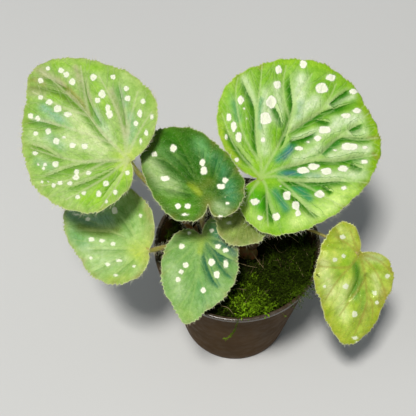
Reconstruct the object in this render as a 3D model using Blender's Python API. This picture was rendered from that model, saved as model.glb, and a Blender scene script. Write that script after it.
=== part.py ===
"""A small begonia in a plain tapered plastic pot, built piece by piece.

Origin: centre of the pot's flat underside. +Z is up, -Y is the side seen in the photograph, +X its right.
Lengths named _MM are in millimetres; every mesh is built in metres.
"""

from collections import namedtuple
from math import atan2, cos, hypot, pi, radians, sin

import bpy
from mathutils import Euler, Vector

MM = 0.001
GAP = 0.3 * MM  # between pieces that touch

# Pot: a standard 9 cm grower's pot
POT_HEIGHT = 80 * MM
RIM_RADIUS = 45 * MM
NECK_RADIUS = 43.8 * MM  # outside of the wall just under the lip
BASE_RADIUS = 30.5 * MM
WALL = 1.0 * MM
FLOOR = 1.6 * MM
LIP_DEPTH = 2.6 * MM
BASE_BEVEL = 1.2 * MM
POT_SEGMENTS = 64
DRAIN_HOLES = 5
DRAIN_RADIUS = 3.5 * MM
DRAIN_CIRCLE = 18 * MM

# Potting mix and moss
MIX_EDGE_HEIGHT = 61 * MM
MIX_CROWN = 1.8 * MM  # how much higher the mix stands in the middle
CROWN_CLEAR = 5.2 * MM  # moss keeps this far from the rhizome's axis
MOSS_RIM_GAP = 0.5 * MM
Pad = namedtuple("Pad", "name start_deg end_deg edge_mm heap_mm")
MOSS_PADS = (
    Pad("moss_front", 218, 288, 11.0, 5.0),
    Pad("moss_right", 288, 360, 15.0, 6.5),
    Pad("moss_back", 0, 118, 6.0, 4.5),
    Pad("moss_left", 118, 218, 5.5, 5.0),
)

# Rhizome: a creeping stem that lies on the mix
RHIZOME_START = Vector((-25, 12.5, 0)) * MM
RHIZOME_END = Vector((9, -1.5, 0)) * MM
RHIZOME_RISE = 7 * MM  # its growing end turns up
RHIZOME_RADIUS = 4 * MM
RHIZOME_SWELLING = (0.92, 1.0, 0.94, 1.0, 0.92, 1.0, 0.85)

# Leaves: `reach` is the distance in mm from the stalk's joint to the blade's edge, every 15 degrees
# round from the tip, first down the left side to the notch, then down the right side.
BEARING_STEP_DEG = 15
BLADE_THICKNESS = 0.8 * MM
BLADE_RINGS = (0.34, 0.68, 1.0)
BLADE_SPOKES = 36
NOTCH_REACH = 2.0 * MM
Leaf = namedtuple("Leaf", "name joint_mm heading pitch roll droop cup left right stalk")
# A stalk leaves the rhizome at `along` (0 to 1). `leave` and `meet` are its Bezier handles in mm, from its
# foot and from the blade's joint.
Stalk = namedtuple("Stalk", "along radius_mm leave meet")
LEAVES = (
    Leaf("large_left", (-54.9, 11.3, 143), 133, 6, -18, 0.07, 0.06,
         (76, 66, 59, 53, 49, 43, 37, 31, 23, 16, 10, 5, 2),
         (67, 54, 45, 37, 28, 16, 8, 4, 3, 2, 2),
         Stalk(0.06, 1.5, (-4, 0, 20), (4, 2, -20))),
    Leaf("large_right", (11, 16, 121), 18, 1, 20, 0.06, 0.10,
         (68, 71, 73, 71, 66, 59, 53, 42, 28, 15, 7, 4, 2),
         (59, 49, 42, 37, 34, 32, 29, 26, 21, 16, 9),
         Stalk(0.84, 1.5, (1, 9, 14), (1, 2, -18))),
    Leaf("middle", (-16, -6.3, 133), 138, 6, -11, 0.10, 0.04,
         (45, 37, 29, 24.5, 21, 18, 14.5, 11.5, 7, 2, 8, 10.5, 12),
         (48.5, 44, 36.5, 29.5, 25.5, 22.5, 21, 19, 17.5, 16, 14),
         Stalk(0.38, 1.4, (-9, 3, 18), (-4, 3, -22))),
    Leaf("lower_left", (-47.3, -17.6, 104), 151, -6, -22, 0.10, 0.05,
         (54, 45, 36, 32, 27, 22, 17, 12, 8, 5, 3, 2, 2),
         (56, 49, 38, 28, 19, 10, 5, 3, 2, 2, 2),
         Stalk(0.22, 1.5, (-5, -4, 10), (7, 6, -8))),
    Leaf("front", (-18.9, -7.5, 100.5), -100, -15, 0, 0.06, 0.06,
         (45, 37.5, 33.5, 29, 24, 20.5, 18, 16, 15, 15, 14, 12, 7),
         (38, 32, 26, 21, 17, 14, 11, 7, 3, 2, 2),
         Stalk(0.52, 1.2, (-4, -5, 9), (2, 3, -10))),
    Leaf("small_inner", (2, 3.4, 113), -101, -19, -6, 0.10, 0.08,
         (21, 20, 20, 19, 18, 16, 14, 12, 10, 8, 6, 4, 2),
         (20, 19, 17, 16, 15, 13, 10, 7, 5, 3, 2),
         Stalk(0.68, 1.0, (0, 5, 14), (0, 4, -12))),
    Leaf("right", (64, -9, 86), -97, -38, -13, 0.10, 0.10,
         (50, 44, 33, 27, 24, 19, 14, 7, 3, 2, 2, 2, 8),
         (42, 34, 30, 27, 24, 21.5, 21, 21, 20.5, 19, 15),
         Stalk(0.97, 0.9, (6, 12, 26), (-22, 11, 6))),
)

# Colours are linear red, green and blue
POT_COLOUR = (0.060, 0.048, 0.040)
MIX_COLOUR = (0.035, 0.022, 0.014)
MOSS_COLOUR = (0.060, 0.120, 0.018)
RHIZOME_COLOUR = (0.200, 0.075, 0.030)
STALK_COLOUR = (0.380, 0.400, 0.090)
BLADE_COLOUR = (0.170, 0.360, 0.080)


def clear_scene():
    """Starts from an empty scene."""
    for obj in list(bpy.data.objects):
        bpy.data.objects.remove(obj, do_unlink=True)


def make_material(name, colour, roughness, metallic=0.0):
    """A plain Principled material of one colour."""
    material = bpy.data.materials.new(name)
    material.use_nodes = True
    shader = material.node_tree.nodes["Principled BSDF"]
    shader.inputs["Base Color"].default_value = (*colour, 1.0)
    shader.inputs["Roughness"].default_value = roughness
    shader.inputs["Metallic"].default_value = metallic
    return material


def add_object(name, data, material):
    """Puts a mesh or curve in the scene under that name, with its material."""
    data.materials.append(material)
    obj = bpy.data.objects.new(name, data)
    bpy.context.scene.collection.objects.link(obj)
    return obj


def add_mesh(name, points, faces, material):
    """A smooth-shaded mesh object from points in metres."""
    mesh = bpy.data.meshes.new(name)
    mesh.from_pydata([tuple(p) for p in points], [], faces)
    mesh.shade_smooth()
    mesh.set_sharp_from_angle(angle=radians(40))
    return add_object(name, mesh, material)


def add_turned(name, profile, material):
    """Turns a profile of (radius, height) points about Z. The profile runs down its outer side."""
    mesh = bpy.data.meshes.new(name)
    points = [(radius, 0.0, height) for radius, height in profile]
    mesh.from_pydata(points, [(i, i + 1) for i in range(len(points) - 1)], [])
    obj = add_object(name, mesh, material)
    turn = obj.modifiers.new("turn", "SCREW")
    turn.axis = "Z"
    turn.angle = 2 * pi
    turn.steps = POT_SEGMENTS
    turn.render_steps = POT_SEGMENTS
    turn.use_merge_vertices = True
    turn.merge_threshold = 0.00005
    turn.use_smooth_shade = True
    return obj


def inner_wall_radius(height):
    """Inside radius of the pot's wall at a height above its underside."""
    taper = (NECK_RADIUS - BASE_RADIUS) / POT_HEIGHT
    return BASE_RADIUS - WALL + taper * height


def mix_surface(radius):
    """Height of the potting mix at a distance from the pot's axis."""
    return MIX_EDGE_HEIGHT + MIX_CROWN * (1 - (radius / NECK_RADIUS) ** 2)


def add_drain_cutters():
    """One hidden cylinder for each drain hole, joined in a single helper mesh."""
    points, faces = [], []
    sides = 16
    for hole in range(DRAIN_HOLES):
        turn = 2 * pi * (hole + 0.5) / DRAIN_HOLES
        x, y = DRAIN_CIRCLE * cos(turn), DRAIN_CIRCLE * sin(turn)
        first = len(points)
        for height in (-FLOOR, 2 * FLOOR):
            for side in range(sides):
                bearing = 2 * pi * side / sides
                points.append((x + DRAIN_RADIUS * cos(bearing), y + DRAIN_RADIUS * sin(bearing), height))
        low, high = range(first, first + sides), range(first + sides, first + 2 * sides)
        faces.append(list(reversed(low)))
        faces.append(list(high))
        for side in range(sides):
            after = (side + 1) % sides
            faces.append([low[side], low[after], high[after], high[side]])
    mesh = bpy.data.meshes.new("drain_cutters")
    mesh.from_pydata(points, [], faces)
    cutters = bpy.data.objects.new("drain_cutters", mesh)
    bpy.context.scene.collection.objects.link(cutters)
    cutters.hide_render = True
    cutters.display_type = "WIRE"
    return cutters


def add_pot():
    """Thin tapered wall with a small turned-out lip, and drain holes round the floor's centre."""
    lip_inside = NECK_RADIUS - WALL
    profile = [
        (0.0, FLOOR),
        (inner_wall_radius(FLOOR), FLOOR),
        (inner_wall_radius(POT_HEIGHT - LIP_DEPTH), POT_HEIGHT - LIP_DEPTH),
        (lip_inside + 0.3 * MM, POT_HEIGHT - 0.4 * MM),
        (lip_inside + 0.7 * MM, POT_HEIGHT),
        (RIM_RADIUS - 0.4 * MM, POT_HEIGHT),
        (RIM_RADIUS, POT_HEIGHT - 0.5 * MM),
        (RIM_RADIUS, POT_HEIGHT - LIP_DEPTH + 0.4 * MM),
        (RIM_RADIUS - 0.4 * MM, POT_HEIGHT - LIP_DEPTH),
        (inner_wall_radius(POT_HEIGHT - LIP_DEPTH) + WALL, POT_HEIGHT - LIP_DEPTH - 0.3 * MM),
        (inner_wall_radius(BASE_BEVEL) + WALL, BASE_BEVEL),
        (BASE_RADIUS - BASE_BEVEL, 0.0),
        (0.0, 0.0),
    ]
    pot = add_turned("pot", profile, make_material("pot_plastic", POT_COLOUR, 0.4))
    cut = pot.modifiers.new("drain", "BOOLEAN")
    cut.operation = "DIFFERENCE"
    cut.object = add_drain_cutters()


def add_mix():
    """The potting mix that fills the pot up to the moss."""
    side = [
        (inner_wall_radius(height) - GAP, height)
        for height in (mix_surface(inner_wall_radius(MIX_EDGE_HEIGHT)), FLOOR + GAP)
    ]
    crown = [(radius, mix_surface(radius)) for radius in (0.0, 14 * MM, 28 * MM)]
    add_turned("potting_mix", crown + side + [(0.0, FLOOR + GAP)], make_material("mix", MIX_COLOUR, 0.95))


def rhizome_axis(along):
    """A point on the rhizome's axis, 0 at its old end and 1 at its growing end."""
    point = RHIZOME_START.lerp(RHIZOME_END, along)
    point.z = mix_surface(0.0) + GAP + 0.95 * RHIZOME_RADIUS + RHIZOME_RISE * along ** 2
    return point


def from_rhizome(x, y):
    """Distance in plan from the rhizome's axis."""
    start, run = RHIZOME_START.xy, RHIZOME_END.xy - RHIZOME_START.xy
    point = Vector((x, y))
    along = max(0.0, min(1.0, (point - start).dot(run) / run.length_squared))
    return (point - start - along * run).length


def add_rhizome():
    """A knobbly stem lying on the mix."""
    curve = bpy.data.curves.new("rhizome", "CURVE")
    curve.dimensions = "3D"
    curve.bevel_depth = RHIZOME_RADIUS
    curve.bevel_resolution = 3
    curve.resolution_u = 3
    curve.use_fill_caps = True
    spline = curve.splines.new("NURBS")
    spline.points.add(len(RHIZOME_SWELLING) - 1)
    spline.use_endpoint_u = True
    spline.order_u = 3
    for i, (point, swelling) in enumerate(zip(spline.points, RHIZOME_SWELLING)):
        point.co = (*rhizome_axis(i / (len(RHIZOME_SWELLING) - 1)), 1.0)
        point.radius = swelling
    add_object("rhizome", curve, make_material("rhizome_bark", RHIZOME_COLOUR, 0.7))


def moss_inner_radius(bearing):
    """Where the moss begins, going out from the pot's axis on a bearing."""
    radius = 0.0
    while from_rhizome(radius * cos(bearing), radius * sin(bearing)) < CROWN_CLEAR:
        radius += 0.2 * MM
    return radius


def moss_depth(pad, across, along):
    """Depth of a moss pad: `across` goes 0 to 1 outwards, `along` 0 to 1 round the pot."""
    heap = sin(pi * across) ** 0.6 * (0.7 + 0.3 * sin(pi * along))
    lumps = 0.8 * sin(9 * along + 5 * across) * sin(7 * across + 3 * along)
    return (0.3 * pad.edge_mm * (1 - across) + pad.edge_mm * across + pad.heap_mm * heap + lumps) * MM


def add_moss_pad(pad, material):
    """A cushion of moss over one side of the mix: a slab with a lumpy top."""
    columns, rows = 10, 5
    outer = inner_wall_radius(MIX_EDGE_HEIGHT) - MOSS_RIM_GAP
    flare = (NECK_RADIUS - BASE_RADIUS) / POT_HEIGHT
    start, span = radians(pad.start_deg), radians(pad.end_deg - pad.start_deg)
    points = []
    for level in ("low", "high"):
        for column in range(columns + 1):
            along = column / columns
            inner = moss_inner_radius(start + span * along)
            for row in range(rows + 1):
                across = row / rows
                radius = inner + (outer - inner) * across
                joint = 0.6 * GAP / radius
                bearing = start + joint + (span - 2 * joint) * along
                height = mix_surface(radius) + GAP
                if level == "high":
                    depth = moss_depth(pad, across, along)
                    height += depth
                    radius += flare * depth * across
                points.append((radius * cos(bearing), radius * sin(bearing), height))
    size = (columns + 1) * (rows + 1)

    def at(column, row, level):
        return level * size + column * (rows + 1) + row

    faces = []
    for column in range(columns):
        for row in range(rows):
            corners = [(column, row), (column, row + 1), (column + 1, row + 1), (column + 1, row)]
            faces.append([at(c, r, 1) for c, r in reversed(corners)][::-1])
            faces.append([at(c, r, 0) for c, r in corners][::-1])
    edge = [(c, 0) for c in range(columns)]
    edge += [(columns, r) for r in range(rows)]
    edge += [(c, rows) for c in range(columns, 0, -1)]
    edge += [(0, r) for r in range(rows, 0, -1)]
    for (c0, r0), (c1, r1) in zip(edge, edge[1:] + edge[:1]):
        faces.append([at(c0, r0, 0), at(c0, r0, 1), at(c1, r1, 1), at(c1, r1, 0)])
    add_mesh(pad.name, points, faces, material)


def blade_reach(leaf, bearing_deg):
    """Distance from the joint to the blade's edge on a bearing, read smoothly from the leaf's table."""
    ring = list(leaf.left) + list(reversed(leaf.right))
    place = (bearing_deg % 360) / BEARING_STEP_DEG
    i, t = int(place), place - int(place)
    a, b, c, d = (ring[(i + k) % len(ring)] for k in (-1, 0, 1, 2))
    reach = b + 0.5 * t * (c - a + t * (2 * a - 5 * b + 4 * c - d + t * (3 * (b - c) + d - a)))
    return max(reach * MM, NOTCH_REACH)


def blade_rise(leaf, x, y):
    """Height of the blade's surface over its own plane: it droops to the tip and cups at the sides."""
    length = leaf.left[0] * MM
    return length * (leaf.cup * (y / length) ** 2 - leaf.droop * (x / length) ** 2)


def add_blade(leaf, material):
    """The blade: a cupped sheet round its stalk's joint, given its thickness by a modifier."""
    points = [(0.0, 0.0, 0.0)]
    for share in BLADE_RINGS:
        for spoke in range(BLADE_SPOKES):
            bearing = 360 * spoke / BLADE_SPOKES
            reach = blade_reach(leaf, bearing) * share
            x, y = reach * cos(radians(bearing)), reach * sin(radians(bearing))
            points.append((x, y, blade_rise(leaf, x, y)))
    faces = []
    for spoke in range(BLADE_SPOKES):
        after = (spoke + 1) % BLADE_SPOKES
        faces.append([0, 1 + spoke, 1 + after])
        for ring in range(len(BLADE_RINGS) - 1):
            low, high = 1 + ring * BLADE_SPOKES, 1 + (ring + 1) * BLADE_SPOKES
            faces.append([low + spoke, high + spoke, high + after, low + after])
    blade = add_mesh(f"blade_{leaf.name}", points, faces, material)
    blade.location = Vector(leaf.joint_mm) * MM
    blade.rotation_euler = blade_rotation(leaf)
    thicken = blade.modifiers.new("thickness", "SOLIDIFY")
    thicken.thickness = BLADE_THICKNESS
    thicken.offset = 0.0


def blade_rotation(leaf):
    """Turns a blade from lying flat, tip at +X, to its heading, pitch and roll in degrees."""
    return Euler((radians(leaf.roll), radians(-leaf.pitch), radians(leaf.heading)), "XYZ")


def add_stalk(leaf, material):
    """The leaf stalk: one smooth bend from the rhizome to the underside of the blade's joint."""
    stalk = leaf.stalk
    radius = stalk.radius_mm * MM
    leave, meet = Vector(stalk.leave) * MM, Vector(stalk.meet) * MM
    axis = (rhizome_axis(stalk.along + 0.01) - rhizome_axis(stalk.along - 0.01)).normalized()
    slant = abs(leave.normalized().dot(axis))
    side = (leave - axis * leave.dot(axis)).normalized()
    foot = rhizome_axis(stalk.along) + side * (RHIZOME_RADIUS + GAP + radius * slant)
    normal = blade_rotation(leaf).to_matrix() @ Vector((0, 0, 1))
    slant = meet.normalized().cross(normal).length
    top = Vector(leaf.joint_mm) * MM - normal * (BLADE_THICKNESS / 2 + GAP + radius * slant)
    curve = bpy.data.curves.new(f"stalk_{leaf.name}", "CURVE")
    curve.dimensions = "3D"
    curve.bevel_depth = radius
    curve.bevel_resolution = 2
    curve.resolution_u = 14
    curve.use_fill_caps = True
    spline = curve.splines.new("BEZIER")
    spline.bezier_points.add(1)
    first, last = spline.bezier_points
    first.co, last.co = foot, top
    first.handle_left, first.handle_right = foot - leave / 9, foot + leave
    last.handle_left, last.handle_right = top + meet, top - meet / 9
    first.radius, last.radius = 1.1, 0.85
    add_object(f"stalk_{leaf.name}", curve, material)


def main():
    clear_scene()
    add_pot()
    add_mix()
    moss = make_material("moss", MOSS_COLOUR, 0.9)
    for pad in MOSS_PADS:
        add_moss_pad(pad, moss)
    add_rhizome()
    green = make_material("leaf_blade", BLADE_COLOUR, 0.35)
    stalk_green = make_material("leaf_stalk", STALK_COLOUR, 0.45)
    for leaf in LEAVES:
        add_blade(leaf, green)
        add_stalk(leaf, stalk_green)


main()
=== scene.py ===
"""Looks for a small potted begonia: hairy spotted leaves, mossy mix and a plain tapered pot.

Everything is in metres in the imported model's frame. Places on the leaves that were read off the
photograph are pixels of its 416 x 416 frame, and the camera below turns them into places on the blades.
"""

from collections import namedtuple
from math import cos, pi, radians, sin

import bpy
import numpy as np
from mathutils import Euler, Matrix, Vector
from mathutils.geometry import delaunay_2d_cdt
from mathutils.kdtree import KDTree

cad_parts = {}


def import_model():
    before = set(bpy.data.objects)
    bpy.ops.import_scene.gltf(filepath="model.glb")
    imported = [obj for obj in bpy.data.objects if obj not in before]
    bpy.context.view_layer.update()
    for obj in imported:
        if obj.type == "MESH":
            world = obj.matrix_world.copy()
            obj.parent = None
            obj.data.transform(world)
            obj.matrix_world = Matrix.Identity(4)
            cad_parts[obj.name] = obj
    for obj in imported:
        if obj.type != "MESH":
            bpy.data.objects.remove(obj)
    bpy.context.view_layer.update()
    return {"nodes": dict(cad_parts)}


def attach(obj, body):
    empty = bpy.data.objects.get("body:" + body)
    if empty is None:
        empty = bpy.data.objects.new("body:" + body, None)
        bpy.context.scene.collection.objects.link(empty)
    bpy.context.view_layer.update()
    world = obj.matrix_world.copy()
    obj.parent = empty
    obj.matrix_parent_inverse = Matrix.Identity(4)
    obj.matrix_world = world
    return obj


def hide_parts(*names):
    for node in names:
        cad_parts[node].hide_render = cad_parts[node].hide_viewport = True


MM = 0.001
POINTS_AT_ONCE = 2000

# Camera, fitted to the ellipses of the pot's rim and base
FRAME_PX = 416
FOCAL_PX = 978
SENSOR_MM = 36
CAMERA_DOWN = radians(57)
CAMERA_AT = np.array((-0.0159, -0.2702, 0.5330))
CAMERA_RIGHT = np.array((1.0, 0.0, 0.0))
CAMERA_UP = np.array((0.0, sin(CAMERA_DOWN), cos(CAMERA_DOWN)))
CAMERA_AHEAD = np.array((0.0, cos(CAMERA_DOWN), -sin(CAMERA_DOWN)))

# Pot and potting mix, as in the CAD
POT_HEIGHT = 80 * MM
RIM_RADIUS = 45 * MM
NECK_RADIUS = 43.8 * MM
BASE_RADIUS = 30.5 * MM
WALL = 1.0 * MM
FLOOR = 1.6 * MM
LIP_DEPTH = 2.6 * MM
BASE_BEVEL = 1.2 * MM
DRAIN_HOLES = 5
DRAIN_RADIUS = 3.5 * MM
DRAIN_CIRCLE = 18 * MM
MIX_EDGE_HEIGHT = 61 * MM
MIX_CROWN = 1.8 * MM

# Creeping stem
RHIZOME_START = np.array((-25, 12.5, 0)) * MM
RHIZOME_END = np.array((9, -1.5, 0)) * MM
RHIZOME_RADIUS = 4 * MM
RHIZOME_RISE = 7 * MM
CROWN_CLEAR = 5.2 * MM
GAP = 0.3 * MM

# Leaves, as in the CAD: `reach` in mm from the stalk's joint to the edge, every 15 degrees from the tip,
# first down the left side to the notch, then down the right side.
BEARING_STEP_DEG = 15
NOTCH_REACH = 2.0 * MM
Leaf = namedtuple("Leaf", "name joint_mm heading pitch roll droop cup left right stalk")
Stalk = namedtuple("Stalk", "along radius_mm leave meet")
LEAVES = (
    Leaf("large_left", (-54.9, 11.3, 143), 133, 6, -18, 0.07, 0.06,
         (76, 66, 59, 53, 49, 43, 37, 31, 23, 16, 10, 5, 2),
         (67, 54, 45, 37, 28, 16, 8, 4, 3, 2, 2),
         Stalk(0.06, 1.5, (-4, 0, 20), (4, 2, -20))),
    Leaf("large_right", (11, 16, 121), 18, 1, 20, 0.06, 0.10,
         (68, 71, 73, 71, 66, 59, 53, 42, 28, 15, 7, 4, 2),
         (59, 49, 42, 37, 34, 32, 29, 26, 21, 16, 9),
         Stalk(0.84, 1.5, (1, 9, 14), (1, 2, -18))),
    Leaf("middle", (-16, -6.3, 133), 138, 6, -11, 0.10, 0.04,
         (45, 37, 29, 24.5, 21, 18, 14.5, 11.5, 7, 2, 8, 10.5, 12),
         (48.5, 44, 36.5, 29.5, 25.5, 22.5, 21, 19, 17.5, 16, 14),
         Stalk(0.38, 1.4, (-9, 3, 18), (-4, 3, -22))),
    Leaf("lower_left", (-47.3, -17.6, 104), 151, -6, -22, 0.10, 0.05,
         (54, 45, 36, 32, 27, 22, 17, 12, 8, 5, 3, 2, 2),
         (56, 49, 38, 28, 19, 10, 5, 3, 2, 2, 2),
         Stalk(0.22, 1.5, (-5, -4, 10), (7, 6, -8))),
    Leaf("front", (-18.9, -7.5, 100.5), -100, -15, 0, 0.06, 0.06,
         (45, 37.5, 33.5, 29, 24, 20.5, 18, 16, 15, 15, 14, 12, 7),
         (38, 32, 26, 21, 17, 14, 11, 7, 3, 2, 2),
         Stalk(0.52, 1.2, (-4, -5, 9), (2, 3, -10))),
    Leaf("small_inner", (2, 3.4, 113), -101, -19, -6, 0.10, 0.08,
         (21, 20, 20, 19, 18, 16, 14, 12, 10, 8, 6, 4, 2),
         (20, 19, 17, 16, 15, 13, 10, 7, 5, 3, 2),
         Stalk(0.68, 1.0, (0, 5, 14), (0, 4, -12))),
    Leaf("right", (64, -9, 86), -97, -38, -13, 0.10, 0.10,
         (50, 44, 33, 27, 24, 19, 14, 7, 3, 2, 2, 2, 8),
         (42, 34, 30, 27, 24, 21.5, 21, 21, 20.5, 19, 15),
         Stalk(0.97, 0.9, (6, 12, 26), (-22, 11, 6))),
)
# How each blade is finished. In mm: the mesh's grain, how deep the folds are, how wide the groove over a main
# vein is, the depth of the teeth, how far the tip is drawn out and how much the edge waves. Then how plainly
# veins, side veins' ripples and folds show, the roughness, how strong the gloss is, how wide the joint's own
# colour spreads in mm, how pale the spots are, how long the hairs are and how coarse the fine grain is, in mm.
Finish = namedtuple(
    "Finish", "spacing relief groove tooth point wave vein ripple fold rough gloss centre spots hair grain")
FINISHES = {
    "large_left": Finish(0.62, 0.85, 1.8, 1.10, 0.0, 0.6, 0.45, 0.30, 0.80, 0.44, 0.18, 8, 0.84, 3.6, 0.30),
    "large_right": Finish(0.62, 1.05, 1.5, 0.80, 0.0, 0.8, 0.50, 0.10, 1.00, 0.42, 0.15, 8, 1.00, 3.2, 0.22),
    "middle": Finish(0.55, 0.70, 1.5, 0.90, 0.0, 0.3, 0.18, 0.25, 0.45, 0.30, 0.24, 4, 1.00, 2.6, 0.24),
    "lower_left": Finish(0.55, 0.55, 1.5, 1.40, 0.0, 0.4, 0.22, 0.25, 0.45, 0.40, 0.20, 8, 0.80, 2.8, 0.20),
    "front": Finish(0.52, 0.60, 1.3, 1.50, 0.3, 0.3, 0.28, 0.25, 0.90, 0.40, 0.20, 6, 0.95, 1.7, 0.18),
    "small_inner": Finish(0.52, 0.40, 1.3, 1.30, 0.0, 0.2, 0.25, 0.20, 0.30, 0.48, 0.25, 5, 0.60, 3.0, 0.20),
    "right": Finish(0.52, 1.50, 3.4, 1.00, 0.0, 0.6, 0.45, 0.02, 0.22, 0.33, 0.75, 4, 0.72, 1.8, 0.07),
}

# Main veins, each from the joint outwards, in photograph pixels
VEINS = {
    "large_left": (
        ((112, 143), (98, 128), (89, 115), (76, 102), (63, 90), (52, 79), (40, 71)),
        ((112, 161), (96, 161), (80, 162), (62, 158), (31, 148)),
        ((126, 154), (125, 136), (118, 112), (107, 90), (99, 76)),
        ((127, 152), (128, 132), (132, 112), (138, 92)),
        ((129, 152), (136, 138), (145, 122), (152, 112)),
        ((118, 167), (107, 176), (94, 184), (80, 192), (66, 200)),
        ((124, 170), (118, 184), (108, 198), (101, 208)),
        ((112, 143), (96, 137), (74, 130), (56, 124), (32, 118)),
        ((89, 115), (86, 103), (83, 85), (81, 66)),
        ((104, 162), (86, 172), (66, 182), (42, 186)),
        ((89, 115), (68, 110), (48, 100), (33, 92)),
    ),
    "large_right": (
        ((262, 165), (256, 140), (256, 115), (260, 89), (262, 66)),
        ((270, 160), (284, 135), (291, 116), (295, 100), (304, 86), (312, 74)),
        ((284, 135), (301, 124), (319, 113), (330, 98), (336, 84)),
        ((280, 168), (301, 163), (316, 159), (330, 144), (341, 135), (356, 124), (369, 113)),
        ((316, 159), (334, 161), (352, 158), (377, 155)),
        ((278, 176), (296, 181), (322, 180), (347, 180), (372, 184)),
        ((279, 180), (290, 189), (304, 203), (316, 218)),
        ((267, 186), (267, 206), (268, 226)),
        ((252, 168), (237, 150), (228, 132), (222, 114)),
        ((258, 160), (244, 138), (238, 116), (235, 90), (238, 78)),
        ((296, 181), (316, 191), (336, 203), (346, 209)),
        ((258, 182), (249, 194), (245, 206)),
        ((341, 135), (360, 140), (378, 138)),
        ((290, 118), (283, 100), (283, 80), (286, 66)),
    ),
    "middle": (
        ((196, 190), (188, 181), (179, 172), (170, 162), (160, 155), (148, 149)),
        ((200, 183), (192, 165), (182, 147), (176, 135)),
        ((203, 180), (200, 160), (198, 141)),
        ((208, 180), (209, 160), (213, 144)),
        ((214, 184), (220, 168), (226, 155)),
        ((219, 190), (229, 179), (237, 170)),
        ((222, 197), (234, 193), (242, 190)),
        ((196, 193), (182, 186), (166, 181), (150, 175)),
        ((192, 198), (177, 198), (160, 197)),
        ((195, 206), (183, 212), (174, 216)),
        ((202, 210), (198, 218)),
        ((216, 208), (226, 211), (235, 211)),
        ((211, 210), (217, 217)),
    ),
    "lower_left": (
        ((133, 244), (118, 234), (98, 224), (74, 214)),
        ((137, 240), (130, 225), (124, 206)),
        ((142, 236), (140, 220), (136, 202)),
        ((146, 238), (148, 222), (147, 205)),
        ((150, 240), (152, 230)),
        ((128, 247), (104, 244), (74, 240)),
        ((128, 253), (106, 256), (84, 260)),
        ((131, 257), (112, 264), (96, 274)),
        ((137, 261), (125, 272), (114, 282)),
        ((143, 263), (138, 276)),
    ),
    "front": (
        ((200, 256), (198, 272), (195, 288), (191, 305), (188, 320)),
        ((206, 257), (210, 271), (218, 286), (227, 297)),
        ((212, 250), (219, 262), (226, 272), (235, 279)),
        ((214, 246), (226, 255), (237, 261)),
        ((214, 238), (226, 243), (236, 250)),
        ((208, 228), (211, 218)),
        ((194, 257), (183, 276), (174, 292)),
        ((189, 252), (175, 264), (164, 274)),
        ((187, 243), (173, 248), (164, 254)),
        ((190, 234), (178, 232)),
        ((198, 272), (190, 290), (181, 306)),
        ((198, 272), (204, 290), (208, 306)),
    ),
    "small_inner": (
        ((241, 220), (238, 234), (236, 244)),
        ((237, 218), (227, 228), (221, 234)),
        ((234, 212), (222, 216), (215, 218)),
        ((248, 220), (252, 232), (255, 240)),
        ((254, 216), (262, 225), (267, 230)),
    ),
    "right": (
        ((362, 262), (366, 278), (367, 293), (367, 303), (363, 314), (358, 326), (352, 339)),
        ((350, 267), (340, 277), (333, 287), (325, 300)),
        ((350, 267), (337, 268), (319, 266)),
        ((352, 247), (345, 242), (335, 236)),
        ((354, 242), (350, 230)),
        ((371, 265), (378, 275), (383, 286), (386, 298)),
        ((372, 257), (383, 263), (391, 272)),
        ((367, 293), (373, 303), (372, 319)),
        ((365, 280), (357, 292), (347, 304), (339, 316)),
    ),
}

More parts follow.
